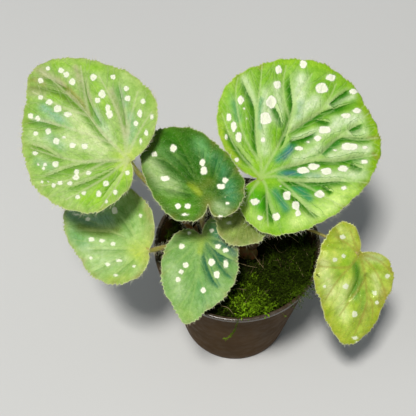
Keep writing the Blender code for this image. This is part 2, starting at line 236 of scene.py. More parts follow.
# Sunken folds in the quilted blades, in photograph pixels, each along the crisp edge of its dark band, which is
# partly the leaf's deeper green and partly painted shade
FOLDS = {
    "large_left": (
        ((118, 152), (104, 138), (92, 122), (82, 108), (72, 98), (62, 92), (48, 89), (32, 87)),
        ((68, 90), (54, 81), (42, 76)),
        ((61, 128), (45, 122), (27, 121)),
        ((66, 158), (55, 156), (47, 150), (27, 144)),
        ((123, 160), (99, 162), (75, 166), (53, 174), (36, 182)),
        ((119, 166), (95, 180), (65, 190)),
        ((123, 170), (109, 186), (99, 202)),
        ((104, 128), (96, 116), (89, 102), (85, 88), (84, 72)),
        ((126, 130), (123, 108), (119, 90), (117, 80)),
    ),
    "large_right": (
        ((258, 160), (256, 146), (255, 118), (253, 103), (248, 94), (243, 84), (241, 74)),
        ((276, 152), (282, 146), (286, 135), (289, 122), (293, 108), (291, 94), (289, 82), (289, 68)),
        ((284, 130), (280, 118), (276, 110), (270, 98)),
        ((284, 137), (287, 133), (297, 128), (307, 121), (318, 115), (324, 111), (334, 109), (347, 105), (360, 101)),
        ((328, 106), (334, 100), (342, 94), (352, 88)),
        ((288, 142), (298, 140), (308, 137), (318, 131)),
        ((314, 119), (324, 121), (332, 124)),
        ((318, 158), (320, 154), (327, 148), (334, 142), (340, 138), (350, 137), (366, 139), (378, 139)),
        ((348, 131), (354, 127), (363, 124)),
        ((278, 170), (297, 165), (320, 161), (337, 161), (346, 160), (354, 157), (367, 156), (377, 158)),
        ((350, 163), (356, 166), (364, 170)),
        ((278, 182), (300, 182), (323, 183), (337, 181), (346, 182), (354, 186)),
        ((322, 184), (328, 189), (334, 194)),
        ((278, 188), (290, 194), (302, 204), (314, 214), (324, 220)),
        ((266, 190), (268, 204), (272, 216), (274, 228)),
        ((254, 168), (242, 154), (232, 140), (224, 126)),
    ),
    "middle": (
        ((198, 188), (188, 178), (176, 168), (164, 160), (150, 158)),
        ((196, 184), (186, 168), (174, 156), (162, 146)),
        ((204, 176), (203, 160), (204, 146)),
        ((212, 180), (215, 166), (219, 152)),
        ((220, 186), (229, 176), (235, 168)),
        ((194, 196), (180, 192), (162, 188)),
    ),
    "lower_left": (
        ((130, 240), (116, 234), (96, 232), (76, 232)),
        ((134, 238), (126, 226), (118, 214)),
        ((126, 256), (112, 262), (98, 270), (88, 274)),
        ((136, 258), (124, 268), (112, 278)),
        ((130, 250), (108, 250), (82, 250)),
    ),
    "front": (
        ((203, 252), (207, 266), (212, 279), (219, 288)),
        ((213, 252), (220, 262), (226, 272), (232, 278)),
        ((205, 240), (214, 251), (226, 258), (236, 262)),
    ),
    "small_inner": (
        ((240, 216), (234, 226), (230, 236)),
        ((248, 218), (254, 230), (258, 238)),
    ),
    "right": (
        ((360, 264), (360, 278), (354, 292), (346, 304)),
        ((366, 272), (372, 284), (374, 298)),
    ),
}

# The steep side of a fold faces the photograph's upper right and carries a painted highlight; its dark band of
# deeper green and painted shade lies on the other side
FOLD_FACES = np.array((0.7, -0.7))

# Enlargements of the photograph in which the spots were read: the photograph pixel at the top left
# corner, and how many times larger it is
CloseUp = namedtuple("CloseUp", "left top scale")
CLOSE_UPS = {
    "large_left": CloseUp(20, 50, 9.22),
    "large_right": CloseUp(200, 40, 7.13),
    "middle": CloseUp(120, 100, 6.82),
    "lower_left": CloseUp(60, 180, 14.25),
    "front": CloseUp(120, 100, 6.82),
    "small_inner": CloseUp(120, 100, 6.82),
    "right": CloseUp(290, 210, 10.45),
}
# Cream spots, each as (x, y, width, height) in its enlargement's pixels, or (x, y, width) for a round one
SPOTS = {
    "large_left": (
        (262, 175, 40), (383, 195, 50), (432, 232, 55), (487, 298, 60), (195, 287, 50), (680, 257, 60),
        (862, 254, 45), (760, 412, 65, 75), (720, 470, 50), (983, 360, 50, 45), (995, 452, 55),
        (1137, 478, 45, 50), (812, 540, 45, 70), (828, 597, 60, 75), (1108, 592, 45, 75),
        (1218, 618, 30, 50), (1072, 682, 45, 50), (193, 440, 45), (273, 483, 60, 55), (350, 545, 70),
        (443, 597, 70, 50), (100, 612, 50), (165, 633, 45), (150, 775, 45, 40), (263, 753, 50, 60),
        (340, 845, 60), (410, 810, 35, 25), (490, 885, 60, 50), (600, 893, 60, 55), (1167, 767, 35, 60),
        (1115, 845, 25, 50), (140, 952, 50, 40), (330, 1055, 60), (173, 1060, 25), (235, 1060, 35),
        (222, 1097, 30), (523, 1125, 45, 50), (517, 1175, 60, 55), (633, 1133, 50, 40), (992, 1133, 45),
        (208, 1220, 25), (262, 1218, 15), (312, 1250, 35, 45), (370, 1227, 50, 40), (462, 1230, 50, 45),
        (793, 1230, 55, 50), (880, 1313, 40, 50), (590, 1320, 45, 40), (535, 1357, 45), (727, 1327, 45, 60),
        (800, 1398, 25, 35),
    ),
    "large_right": (
        (558, 215, 45, 60), (735, 175, 50, 60), (550, 322, 55), (507, 445, 72, 85), (467, 562, 80, 90),
        (290, 430, 45, 60), (315, 490, 15), (332, 562, 12), (205, 555, 35, 55), (240, 620, 40, 75),
        (275, 695, 45, 72), (187, 690, 22, 40), (448, 715, 33, 35), (262, 855, 30), (930, 272, 70, 50),
        (865, 348, 88, 75), (1093, 370, 60, 40), (1040, 543, 65, 38), (1118, 508, 60, 35),
        (888, 643, 88, 55), (838, 703, 50, 40), (770, 728, 25, 15), (705, 775, 60, 30),
        (1065, 762, 120, 55), (1175, 768, 40, 25), (963, 788, 30, 15), (735, 930, 85, 50),
        (810, 902, 78, 50), (900, 938, 75, 50), (1018, 918, 70, 45), (1170, 870, 45, 30),
        (1025, 1057, 40, 30), (620, 1110, 55, 65), (853, 1100, 70, 55), (573, 1044, 10),
        (390, 1155, 65, 45), (683, 1180, 55, 65), (697, 1237, 40, 45), (425, 1270, 40, 35),
        (543, 1262, 50, 55),
    ),
    "middle": (
        (235, 373, 40, 35), (365, 333, 45, 50), (307, 537, 60, 35), (563, 425, 35, 50), (572, 482, 45, 60),
        (718, 547, 40), (690, 590, 55, 38), (717, 662, 8), (733, 707, 25, 18), (397, 726, 38),
        (462, 726, 40, 35), (443, 783, 42, 18), (685, 795, 30, 20),
    ),
    "lower_left": (
        (785, 440, 80, 100), (400, 560, 70, 50), (240, 495, 70, 30), (1148, 510, 55, 50),
        (450, 848, 85, 65), (600, 868, 75, 55), (757, 913, 70, 58), (442, 1113, 48), (840, 1147, 80, 42),
        (680, 1203, 68, 50), (1055, 1230, 48, 38), (797, 1357, 62, 36),
    ),
    "front": (
        (472, 908, 24, 20), (422, 1000, 40, 35), (448, 1127, 38), (418, 1173, 32), (397, 1227, 34, 36),
        (625, 1107, 45, 50), (660, 1192, 40, 50), (567, 1298, 35, 38), (722, 1118, 33, 56),
        (625, 892, 30, 26), (668, 1000, 38, 32), (720, 1027, 42, 28),
    ),
    "small_inner": ((743, 839, 34, 20),),
    "right": (
        (548, 280, 52, 48), (557, 480, 42), (465, 517, 48, 44), (580, 797, 58, 55), (357, 795, 33),
        (1015, 690, 52, 42), (885, 868, 34, 48), (905, 965, 38), (670, 1085, 56, 64),
        (680, 1335, 58, 34), (700, 1380, 34, 20),
    ),
}

# Colours are linear red, green and blue
Palette = namedtuple("Palette", "panel panel_b vein flank centre margin")
# Pale silvery green: partly the blades' own pale tone, partly painted sheen where the panels face the light
SILVER_TONE_AND_SHEEN = (0.64, 0.78, 0.46)
LEAF_GREEN = (0.15, 0.40, 0.02)
DEEP_GREEN = (0.04, 0.22, 0.006)
DARK_GREEN = (0.018, 0.10, 0.008)
TEAL = (0.03, 0.27, 0.15)
BLUE = (0.05, 0.18, 0.24)
LIME = (0.32, 0.62, 0.02)
PALE_LIME = (0.62, 0.86, 0.20)
YELLOW_GREEN = (0.42, 0.54, 0.03)
OLIVE = (0.13, 0.19, 0.015)
BROWN = (0.28, 0.20, 0.05)
GREY_ROSE = (0.44, 0.42, 0.26)
RED_BROWN = (0.20, 0.08, 0.02)
RIM = (0.66, 0.72, 0.36)
CREAM = (0.95, 0.95, 0.78)
MIST = (0.27, 0.50, 0.33)
PALETTES = {
    "large_left": Palette((0.42, 0.60, 0.19), (0.25, 0.46, 0.06), (0.56, 0.60, 0.34), (0.12, 0.30, 0.02),
                          (0.54, 0.68, 0.13), (0.38, 0.48, 0.12)),
    "large_right": Palette((0.32, 0.58, 0.07), (0.21, 0.48, 0.015), (0.50, 0.66, 0.26), (0.025, 0.18, 0.002),
                           (0.26, 0.56, 0.01), (0.28, 0.48, 0.01)),
    "middle": Palette((0.050, 0.21, 0.008), (0.016, 0.10, 0.002), (0.18, 0.30, 0.05), (0.012, 0.07, 0.002),
                      (0.10, 0.16, 0.003), (0.14, 0.25, 0.03)),
    "lower_left": Palette((0.44, 0.65, 0.26), (0.28, 0.48, 0.12), (0.46, 0.58, 0.20), (0.12, 0.27, 0.04),
                          (0.48, 0.60, 0.07), (0.38, 0.42, 0.12)),
    "front": Palette((0.27, 0.47, 0.15), (0.18, 0.38, 0.08), (0.34, 0.52, 0.14), (0.012, 0.12, 0.055),
                     (0.18, 0.32, 0.015), (0.26, 0.42, 0.14)),
    "small_inner": Palette((0.22, 0.28, 0.06), (0.14, 0.19, 0.03), (0.34, 0.40, 0.13), (0.10, 0.15, 0.02),
                           (0.20, 0.25, 0.04), (0.46, 0.54, 0.20)),
    "right": Palette((0.58, 0.70, 0.12), (0.36, 0.52, 0.02), (0.34, 0.27, 0.04), (0.09, 0.23, 0.003),
                     (0.26, 0.40, 0.01), (0.42, 0.36, 0.02)),
}

# Patches of colour: (colour, half-width in pixels, strength, points in photograph pixels)
PATCHES = {
    "large_left": (
        (MIST, 5, 0.85, (44, 108), (52, 114), (60, 120)),
        (MIST, 4, 0.70, (36, 120), (48, 124)),
        (MIST, 6, 0.60, (50, 138), (62, 146)),
        (MIST, 4, 0.75, (95, 112), (99, 120), (104, 128)),
        (MIST, 5, 0.65, (119, 92), (124, 104)),
        (MIST, 5, 0.60, (130, 116), (133, 128), (130, 142)),
        (MIST, 5, 0.45, (38, 162), (52, 168)),
        (MIST, 5, 0.45, (62, 118), (70, 126)),
        (LEAF_GREEN, 2.5, 0.45, (78, 165), (98, 161), (120, 160)),
        (LEAF_GREEN, 2.5, 0.50, (70, 190), (90, 180), (112, 168)),
        (LEAF_GREEN, 2.5, 0.45, (92, 198), (104, 186), (118, 172)),
        (LIME, 11, 0.95, (102, 192), (114, 182), (127, 170)),
        (LIME, 7, 0.70, (82, 199), (98, 201)),
        (LEAF_GREEN, 4, 0.45, (118, 194), (124, 184)),
        (LIME, 5, 0.55, (56, 64), (80, 66), (100, 68)),
        (LIME, 4, 0.50, (96, 86), (104, 100), (110, 110)),
        (LIME, 4, 0.55, (50, 96), (62, 98)),
        # Olive and brown bands along the upper fold: partly the leaf's brown tint, partly painted shade in the
        # crease
        (OLIVE, 3, 0.80, (30, 88), (48, 90), (60, 94), (70, 101), (80, 110)),
        (BROWN, 3.5, 0.70, (58, 82), (70, 92), (82, 104), (90, 114)),
        (OLIVE, 2.5, 0.45, (42, 77), (54, 82), (66, 91)),
        (BROWN, 3, 0.20, (24, 144), (34, 147), (46, 150)),
        ((0.60, 0.74, 0.38), 6, 0.55, (34, 138), (46, 142)),
        (OLIVE, 2.5, 0.45, (26, 122), (44, 123), (60, 129)),
        (GREY_ROSE, 4, 0.7, (76, 68), (82, 84), (88, 100)),
        (GREY_ROSE, 4, 0.65, (112, 92), (120, 112), (126, 134)),
        (GREY_ROSE, 5, 0.70, (36, 68), (48, 76), (58, 84)),
        (BROWN, 3, 0.50, (26, 82), (34, 80), (44, 84)),
        (GREY_ROSE, 4, 0.5, (30, 92), (44, 94)),
        ((0.70, 0.80, 0.42), 8, 0.75, (74, 116), (88, 134), (104, 148)),
        ((0.66, 0.78, 0.40), 7, 0.7, (68, 140), (84, 146), (100, 152)),
        ((0.60, 0.72, 0.42), 5, 0.6, (104, 128), (112, 142)),
    ),
    "large_right": (
        ((0.055, 0.38, 0.002), 10, 1.0, (246, 186), (256, 194), (262, 206)),
        ((0.055, 0.38, 0.002), 5, 0.90, (284, 190), (300, 188), (318, 190)),
        (LEAF_GREEN, 5, 0.70, (268, 218), (284, 212)),
        (LEAF_GREEN, 5, 0.60, (244, 132), (252, 150)),
        (LEAF_GREEN, 5, 0.50, (252, 70), (262, 74)),
        (LEAF_GREEN, 6, 0.50, (318, 84), (344, 96), (356, 104)),
        (LIME, 5, 0.60, (246, 150), (256, 164)),
        # Pale silver strips on the fold walls that face the light: partly the blade's pale tone, partly painted
        # sheen
        (SILVER_TONE_AND_SHEEN, 5, 0.85, (265, 92), (263, 116), (263, 140), (265, 152)),
        (SILVER_TONE_AND_SHEEN, 6, 0.80, (276, 88), (279, 104), (279, 120)),
        ((0.72, 0.84, 0.54), 4, 0.90, (270, 106), (270, 118)),
        ((0.72, 0.84, 0.56), 7, 0.98, (301, 80), (299, 96), (302, 110), (314, 102)),
        (SILVER_TONE_AND_SHEEN, 5, 0.80, (292, 124), (300, 116)),
        (SILVER_TONE_AND_SHEEN, 4, 0.80, (244, 78), (249, 90), (254, 102)),
        ((0.30, 0.56, 0.16), 5, 0.60, (232, 98), (238, 120)),
        (SILVER_TONE_AND_SHEEN, 4, 0.85, (330, 105), (344, 99), (352, 97)),
        (SILVER_TONE_AND_SHEEN, 3, 0.80, (294, 138), (306, 134), (316, 131)),
        (SILVER_TONE_AND_SHEEN, 6, 0.90, (310, 138), (324, 132), (336, 128)),
        ((0.70, 0.84, 0.54), 6, 0.95, (336, 122), (350, 120), (362, 117)),
        (SILVER_TONE_AND_SHEEN, 5, 0.85, (350, 133), (364, 132)),
        (SILVER_TONE_AND_SHEEN, 6, 0.85, (296, 160), (308, 154), (318, 148)),
        (SILVER_TONE_AND_SHEEN, 6, 0.95, (332, 156), (344, 152), (356, 150), (368, 150)),
        (SILVER_TONE_AND_SHEEN, 6, 0.95, (310, 178), (324, 177), (344, 176), (362, 174)),
        (SILVER_TONE_AND_SHEEN, 4, 0.70, (356, 160), (366, 162)),
        # Teal and blue strips by the joint and along the folds: painted blue sheen in the shaded hollows
        (TEAL, 4.5, 0.9, (278, 160), (286, 152), (293, 145)),
        (BLUE, 3.0, 0.8, (284, 158), (291, 150)),
        (TEAL, 4.5, 0.9, (280, 174), (290, 172), (300, 174)),
        (BLUE, 3.0, 0.75, (286, 174), (293, 173)),
        (TEAL, 4.5, 0.9, (296, 187), (302, 192), (309, 199)),
        (TEAL, 4.5, 0.9, (275, 192), (280, 200), (286, 209)),
        (TEAL, 3.0, 0.6, (261, 100), (259, 112), (259, 128)),
        (TEAL, 4.0, 0.4, (300, 104), (298, 116)),
        (TEAL, 4.0, 0.5, (234, 104), (238, 120)),
        (TEAL, 3.0, 0.6, (324, 152), (332, 146), (338, 142)),
        (TEAL, 3.0, 0.5, (306, 174), (318, 176)),
        ((0.72, 0.92, 0.30), 9, 0.85, (340, 200), (322, 212), (296, 222)),
        (PALE_LIME, 6, 0.7, (330, 194), (354, 191)),
        (PALE_LIME, 7, 0.5, (250, 212), (262, 224)),
        (LIME, 5, 0.5, (272, 62), (300, 62), (330, 68)),
        ((0.26, 0.48, 0.01), 6, 0.9, (362, 106), (374, 126), (379, 148), (374, 168)),
        (OLIVE, 2.5, 0.5, (360, 186), (364, 182)),
        (BROWN, 2.0, 0.6, (373, 154), (378, 160)),
        (BROWN, 2.0, 0.6, (368, 138), (378, 138)),
        (BROWN, 2.0, 0.5, (238, 74), (244, 70)),
        (BROWN, 2.0, 0.4, (256, 64), (260, 68)),
        (YELLOW_GREEN, 4, 0.7, (218, 128), (224, 146), (238, 160)),
    ),
    "middle": (
        # Pale patch over the left half: painted sheen where that half faces the light
        ((0.50, 0.66, 0.30), 9, 0.80, (150, 164), (162, 180), (172, 188)),
        ((0.30, 0.50, 0.20), 6, 0.50, (160, 150), (176, 160)),
        (DEEP_GREEN, 8, 0.5, (160, 150), (176, 158), (186, 170)),
        (DARK_GREEN, 5, 0.6, (184, 160), (194, 176)),
        ((0.15, 0.42, 0.14), 7, 0.8, (200, 144), (206, 156)),
        ((0.04, 0.24, 0.10), 7, 0.7, (216, 160), (224, 174)),
        ((0.07, 0.30, 0.14), 7, 0.7, (228, 184), (232, 198)),
        (OLIVE, 6, 0.7, (200, 188), (210, 182)),
        (LEAF_GREEN, 7, 0.6, (178, 202), (190, 212)),
        (LEAF_GREEN, 7, 0.4, (164, 196), (174, 204)),
        (SILVER_TONE_AND_SHEEN, 6, 0.55, (214, 206), (226, 212)),
        (YELLOW_GREEN, 3, 0.7, (190, 184), (200, 194)),
        (OLIVE, 5, 0.6, (156, 136), (150, 148)),
    ),
    "lower_left": (
        # Blue band along the top and the teal patch two lines below: painted blue-grey shadow cast by the large left
        # leaf
        (BLUE, 8, 0.55, (70, 214), (90, 222), (108, 218)),
        (OLIVE, 5, 0.8, (80, 228), (104, 233), (118, 230)),
        (TEAL, 8, 0.45, (72, 236), (84, 244)),
        (DEEP_GREEN, 7, 0.5, (122, 210), (128, 224)),
        (LEAF_GREEN, 6, 0.5, (138, 206), (142, 220)),
        (SILVER_TONE_AND_SHEEN, 9, 0.5, (88, 252), (108, 256)),
        (SILVER_TONE_AND_SHEEN, 4, 0.5, (112, 264), (124, 260)),
        (YELLOW_GREEN, 8, 0.6, (134, 250), (144, 256)),
        ((0.24, 0.38, 0.08), 6, 0.65, (146, 218), (148, 232)),
        (YELLOW_GREEN, 6, 0.5, (112, 280), (126, 278)),
        (BROWN, 3, 0.4, (146, 210), (152, 222)),
        (BROWN, 3, 0.4, (128, 284), (140, 276)),
    ),
    "front": (
        # Dark teal stripes beside the two folds: partly the leaf's deeper green, partly painted shade on the slopes
        # turned from the light
        ((0.012, 0.15, 0.08), 2.8, 0.95, (204, 250), (208, 266), (213, 278), (218, 286)),
        ((0.012, 0.15, 0.08), 2.8, 0.95, (212, 250), (219, 260), (226, 270), (231, 277)),
        # This patch and the next two, on the upper right lobe: painted shadow of the small inner leaf
        ((0.02, 0.14, 0.06), 6, 0.85, (207, 238), (218, 246)),
        ((0.035, 0.12, 0.12), 8, 0.95, (216, 234), (228, 244), (238, 256)),
        (TEAL, 4, 0.6, (216, 234), (208, 224)),
        # Dark patch on the upper left lobe: painted shadow of the middle leaf
        (DARK_GREEN, 6, 0.85, (176, 238), (184, 233), (194, 231)),
        (SILVER_TONE_AND_SHEEN, 8, 0.35, (172, 268), (180, 292)),
        (SILVER_TONE_AND_SHEEN, 5, 0.15, (222, 290), (214, 302)),
        (TEAL, 7, 0.25, (200, 284), (204, 300)),
        (YELLOW_GREEN, 3, 0.7, (202, 240), (200, 252)),
        (YELLOW_GREEN, 8, 0.25, (180, 314), (190, 318)),
        # Dark olive patch on the upper left lobe: painted shadow of the middle leaf
        ((0.045, 0.11, 0.012), 6, 0.85, (176, 238), (186, 232), (197, 233)),
    ),
    "small_inner": (
        (OLIVE, 5, 0.5, (240, 215), (250, 224)),
        (PALE_LIME, 5, 0.35, (226, 224), (232, 232)),
    ),
    "right": (
        (LIME, 6, 0.45, (344, 248), (346, 262)),
        ((0.78, 0.86, 0.36), 7, 0.80, (322, 262), (326, 278), (331, 292)),
        ((0.74, 0.86, 0.32), 6, 0.80, (344, 286), (340, 304), (344, 316)),
        ((0.72, 0.84, 0.34), 4, 0.65, (374, 276), (378, 292)),
        (SILVER_TONE_AND_SHEEN, 5, 0.6, (366, 256), (380, 258)),
        ((0.70, 0.82, 0.22), 5, 0.6, (342, 230), (350, 238)),
        (DEEP_GREEN, 5, 0.85, (355, 264), (359, 280), (355, 296)),
        (LEAF_GREEN, 4, 0.6, (364, 292), (362, 308)),
        (LEAF_GREEN, 3.5, 0.45, (334, 266), (340, 276)),
        (YELLOW_GREEN, 6, 0.6, (334, 322), (342, 336)),
        (BROWN, 4, 0.45, (384, 290), (378, 304)),
        (BROWN, 3, 0.45, (368, 306), (360, 322)),
        (BROWN, 3, 0.35, (336, 232), (344, 246)),
    ),
}


def photo_place(points):
    """Where world points show in the photograph, as an array of (x, y) pixels."""
    away = np.asarray(points) - CAMERA_AT
    depth = away @ CAMERA_AHEAD
    x = FRAME_PX / 2 + FOCAL_PX * (away @ CAMERA_RIGHT) / depth
    y = FRAME_PX / 2 - FOCAL_PX * (away @ CAMERA_UP) / depth
    return np.stack([x, y], axis=-1)


def photo_ray(x, y):
    """The direction from the camera through a photograph pixel."""
    side = (x - FRAME_PX / 2) / FOCAL_PX
    rise = (FRAME_PX / 2 - y) / FOCAL_PX
    return CAMERA_AHEAD + side * CAMERA_RIGHT + rise * CAMERA_UP


def at_height(x, y, height):
    """The world point at a height that shows at a photograph pixel."""
    ray = photo_ray(x, y)
    return CAMERA_AT + ray * (height - CAMERA_AT[2]) / ray[2]


def smoothstep(low, high, value):
    t = np.clip((value - low) / (high - low), 0.0, 1.0)
    return t * t * (3 - 2 * t)


class Blade:
    """One blade's place and shape: from its own plane, in metres, to the world and back."""

    def __init__(self, leaf):
        turn = Euler((radians(leaf.roll), radians(-leaf.pitch), radians(leaf.heading)), "XYZ")
        self.leaf = leaf
        self.finish = FINISHES[leaf.name]
        self.joint = np.array(leaf.joint_mm) * MM
        self.turn = np.array(turn.to_matrix())
        self.length = leaf.left[0] * MM
        self.ring = np.array(list(leaf.left) + list(reversed(leaf.right)), float) * MM

    def reach(self, bearing):
        """Distance from the joint to the edge, on bearings in radians from the tip."""
        place = (np.degrees(bearing) % 360) / BEARING_STEP_DEG
        i = np.floor(place).astype(int)
        t = place - i
        a, b, c, d = (self.ring[(i + k) % len(self.ring)] for k in (-1, 0, 1, 2))
        reach = b + 0.5 * t * (c - a + t * (2 * a - 5 * b + 4 * c - d + t * (3 * (b - c) + d - a)))
        off_tip = (np.degrees(bearing) + 180) % 360 - 180
        reach = reach + self.finish.point * MM * np.exp(-(off_tip / 5) ** 2)
        return np.maximum(reach, NOTCH_REACH)

    def rise(self, x, y):
        """Height of the blade's middle surface over its plane, as in the CAD, with a wavy edge."""
        length = self.length
        far = np.hypot(x, y)
        bearing = np.arctan2(y, x)
        edge = np.clip(far / self.reach(bearing), 0, 1) ** 4
        wave = self.finish.wave * MM * edge * (np.sin(9 * bearing + 1.3) + 0.5 * np.sin(17 * bearing))
        return length * (self.leaf.cup * (y / length) ** 2 - self.leaf.droop * (x / length) ** 2) + wave

    def world(self, x, y, z):
        """World points for places on the blade's plane and heights over it."""
        return self.joint + np.stack([x, y, z], axis=-1) @ self.turn.T

    def under_pixel(self, px, py):
        """The place on the blade's plane that shows at a photograph pixel."""
        ray = photo_ray(px, py)
        normal = self.turn[:, 2]
        x = y = height = 0.0
        for _ in range(6):
            start = self.joint + normal * height - CAMERA_AT
            hit = CAMERA_AT + ray * (start @ normal) / (ray @ normal) - self.joint
            x, y = hit @ self.turn[:, 0], hit @ self.turn[:, 1]
            height = float(self.rise(np.array(x), np.array(y)))
        return np.array((x, y))


def spaced(points, step):
    """The same open line with its points at an even spacing."""
    points = np.asarray(points, float)
    along = np.concatenate([[0], np.cumsum(np.linalg.norm(np.diff(points, axis=0), axis=1))])
    count = max(2, int(round(along[-1] / step)) + 1)
    wanted = np.linspace(0, along[-1], count)
    return np.stack([np.interp(wanted, along, points[:, k]) for k in range(points.shape[1])], axis=1)


def rounded(points, passes=2):
    """An open line with its corners cut, its two ends kept."""
    points = np.asarray(points, float)
    for _ in range(passes):
        near = 0.75 * points[:-1] + 0.25 * points[1:]
        far = 0.25 * points[:-1] + 0.75 * points[1:]
        middle = np.stack([near, far], axis=1).reshape(-1, points.shape[1])
        points = np.concatenate([points[:1], middle[1:-1], points[-1:]])
    return points


def off_lines(points, lines):
    """Each point's offset from the nearest of some lines, with how far along it as 0 to 1."""
    starts = np.concatenate([line[:-1] for line in lines])
    runs = np.concatenate([np.diff(line, axis=0) for line in lines])
    shares = np.concatenate([np.arange(len(line) - 1) / (len(line) - 1) for line in lines])
    steps = np.concatenate([np.full(len(line) - 1, 1 / (len(line) - 1)) for line in lines])
    square = np.maximum((runs * runs).sum(1), 1e-18)
    offset = np.empty((len(points), 2))
    share = np.empty(len(points))
    for first in range(0, len(points), POINTS_AT_ONCE):
        some = points[first:first + POINTS_AT_ONCE]
        away = some[:, None] - starts
        t = np.clip((away * runs).sum(2) / square, 0, 1)
        away -= t[..., None] * runs
        nearest = (away * away).sum(2).argmin(1)
        rows = np.arange(len(some))
        offset[first:first + len(some)] = away[rows, nearest]
        share[first:first + len(some)] = shares[nearest] + t[rows, nearest] * steps[nearest]
    return offset, share


def from_lines(points, lines):
    """Distance from each point to the nearest of some lines, with how far along it as 0 to 1."""
    offset, share = off_lines(points, lines)
    return np.hypot(*offset.T), share


def from_points(points, others):
    """Distance from each point to the nearest of the others."""
    tree = KDTree(len(others))
    for number, other in enumerate(others):
        tree.insert((*other, 0), number)
    tree.balance()
    return np.array([tree.find((*point, 0))[2] for point in points])


def main_veins(blade):
    """The main veins on the blade's plane, each starting on the joint or on the vein it forks from."""
    lines = []
    for pixels in VEINS[blade.leaf.name]:
        line = [blade.under_pixel(*pixel) for pixel in pixels]
        first = line[0]
        forks = [v for v in lines if np.linalg.norm(v - first, axis=1).min() < 2.5 * MM]
        if not forks:
            line.insert(0, np.zeros(2))
        lines.append(spaced(rounded(line), 1.2 * MM))
    return lines


def side_veins(blade, mains, rng):
    """Finer veins that leave the main ones by turns and curve out to meet the next or the edge."""
    lines = []
    for number, line in enumerate(mains):
        others = [v for k, v in enumerate(mains) if k != number]
        run = np.diff(line, axis=0)
        length = np.linalg.norm(run, axis=1).sum()
        at = 5 * MM + rng.uniform(0, 2) * MM
        hand = 1
        while at < length - 1 * MM:
            k = min(int(at / length * len(run)), len(run) - 1)
            place = line[k].copy()
            heading = np.arctan2(run[k][1], run[k][0]) + hand * radians(rng.uniform(42, 56))
            outward = np.arctan2(place[1], place[0])
            path = [place.copy()]
            for step in range(18):
                off = (outward - heading + pi) % (2 * pi) - pi
                heading += 0.07 * off + rng.normal(0, 0.05)
                place = place + 0.9 * MM * np.array((cos(heading), sin(heading)))
                bearing = np.arctan2(place[1], place[0])
                if np.hypot(*place) > blade.reach(bearing) - 0.8 * MM:
                    break
                path.append(place.copy())
                gap = from_lines(place[None], others)[0][0] if others else 1
                if step > 1 and gap < 0.8 * MM:
                    break
            if len(path) > 2:
                lines.append(np.array(path))
            at += rng.uniform(2.6, 3.8) * MM
            hand = -hand
    return lines


def toothed_outline(blade, rng):
    """The blade's edge as a closed ring of points, with small teeth that lean to the tip."""
    finish = blade.finish
    bearing = np.linspace(-pi, pi, 1441)
    reach = blade.reach(bearing)
    ring = np.stack([reach * np.cos(bearing), reach * np.sin(bearing)], axis=1)
    ring = spaced(ring, 0.55 * finish.spacing * MM)[:-1]
    along = np.arange(len(ring)) * 0.55 * finish.spacing
    pitch = 2.3 + 0.5 * np.sin(along * 0.21 + rng.uniform(0, 6))
    phase = (np.cumsum(1 / pitch) * 0.55 * finish.spacing) % 1
    left_side = ring[:, 1] > 0
    tooth = np.where(left_side, phase, 1 - phase)
    depth = finish.tooth * (0.55 + 0.45 * np.sin(along * 0.37 + rng.uniform(0, 6)))
    far = np.hypot(*ring.T)
    depth = depth * smoothstep(3 * MM, 9 * MM, far) * MM
    wander = 0.30 * np.sin(along * 0.74 + rng.uniform(0, 6)) + 0.25 * np.sin(along * 0.31 + rng.uniform(0, 6))
    wander = wander * smoothstep(6 * MM, 16 * MM, far) * MM
    return ring + ring / far[:, None] * (depth * (tooth - 0.5) + wander)[:, None]


def within(points, outline):
    """Which points lie inside a closed ring."""
    inside = np.zeros(len(points), bool)
    for (x0, y0), (x1, y1) in zip(outline, np.roll(outline, -1, axis=0)):
        spans = (points[:, 1] < y0) != (points[:, 1] < y1)
        slope = (x1 - x0) / (y1 - y0) if y1 != y0 else 0.0
        inside ^= spans & (points[:, 0] < x0 + slope * (points[:, 1] - y0))
    return inside


def blade_net(blade, outline, lines, rng):
    """Triangulates the blade: its edge, its veins as creases and an even scatter between."""
    spacing = blade.finish.spacing * MM
    low, high = outline.min(0), outline.max(0)
    rows = []
    for row, y in enumerate(np.arange(low[1], high[1], 0.866 * spacing)):
        x = np.arange(low[0] + (row % 2) * spacing / 2, high[0], spacing)
        rows.append(np.stack([x, np.full_like(x, y)], axis=1))
    scatter = np.concatenate(rows)
    scatter += rng.uniform(-0.16, 0.16, scatter.shape) * spacing
    far = np.hypot(*scatter.T)
    inside = far < blade.reach(np.arctan2(scatter[:, 1], scatter[:, 0])) - 0.7 * spacing
    scatter = scatter[inside]
    near_vein = from_lines(scatter, lines)[0] < 0.45 * spacing
    scatter = scatter[~near_vein]
    scatter = scatter[from_points(scatter, outline) > 0.5 * spacing]
    points = [tuple(p) for p in outline]
    ring = list(range(len(outline)))
    edges = list(zip(ring, ring[1:] + ring[:1]))
    for line in lines:
        first = len(points)
        points += [tuple(p) for p in line]
        edges += [(first + k, first + k + 1) for k in range(len(line) - 1)]
    points += [tuple(p) for p in scatter]
    scaled = [Vector((p[0] / MM, p[1] / MM)) for p in points]
    net, _, faces, _, _, _ = delaunay_2d_cdt(scaled, edges, [], 0, 1e-4, False)
    net = np.array([(v.x, v.y) for v in net]) * MM
    faces = np.array([list(f) for f in faces])
    faces = faces[within(net[faces].mean(1), outline)]
    used = np.unique(faces)
    number = np.zeros(len(net), int)
    number[used] = np.arange(len(used))
    return net[used], number[faces]


def boundary_loop(faces):
    """Directed edges that belong to only one triangle."""
    pairs = np.concatenate([faces[:, (0, 1)], faces[:, (1, 2)], faces[:, (2, 0)]])
    seen = set(map(tuple, pairs))
    return [(a, b) for a, b in seen if (b, a) not in seen]


def mix(colours, colour, amount):
    """Blends a colour into each row of an array of colours."""
    return colours + (np.asarray(colour) - colours) * np.clip(amount, 0, 1)[:, None]


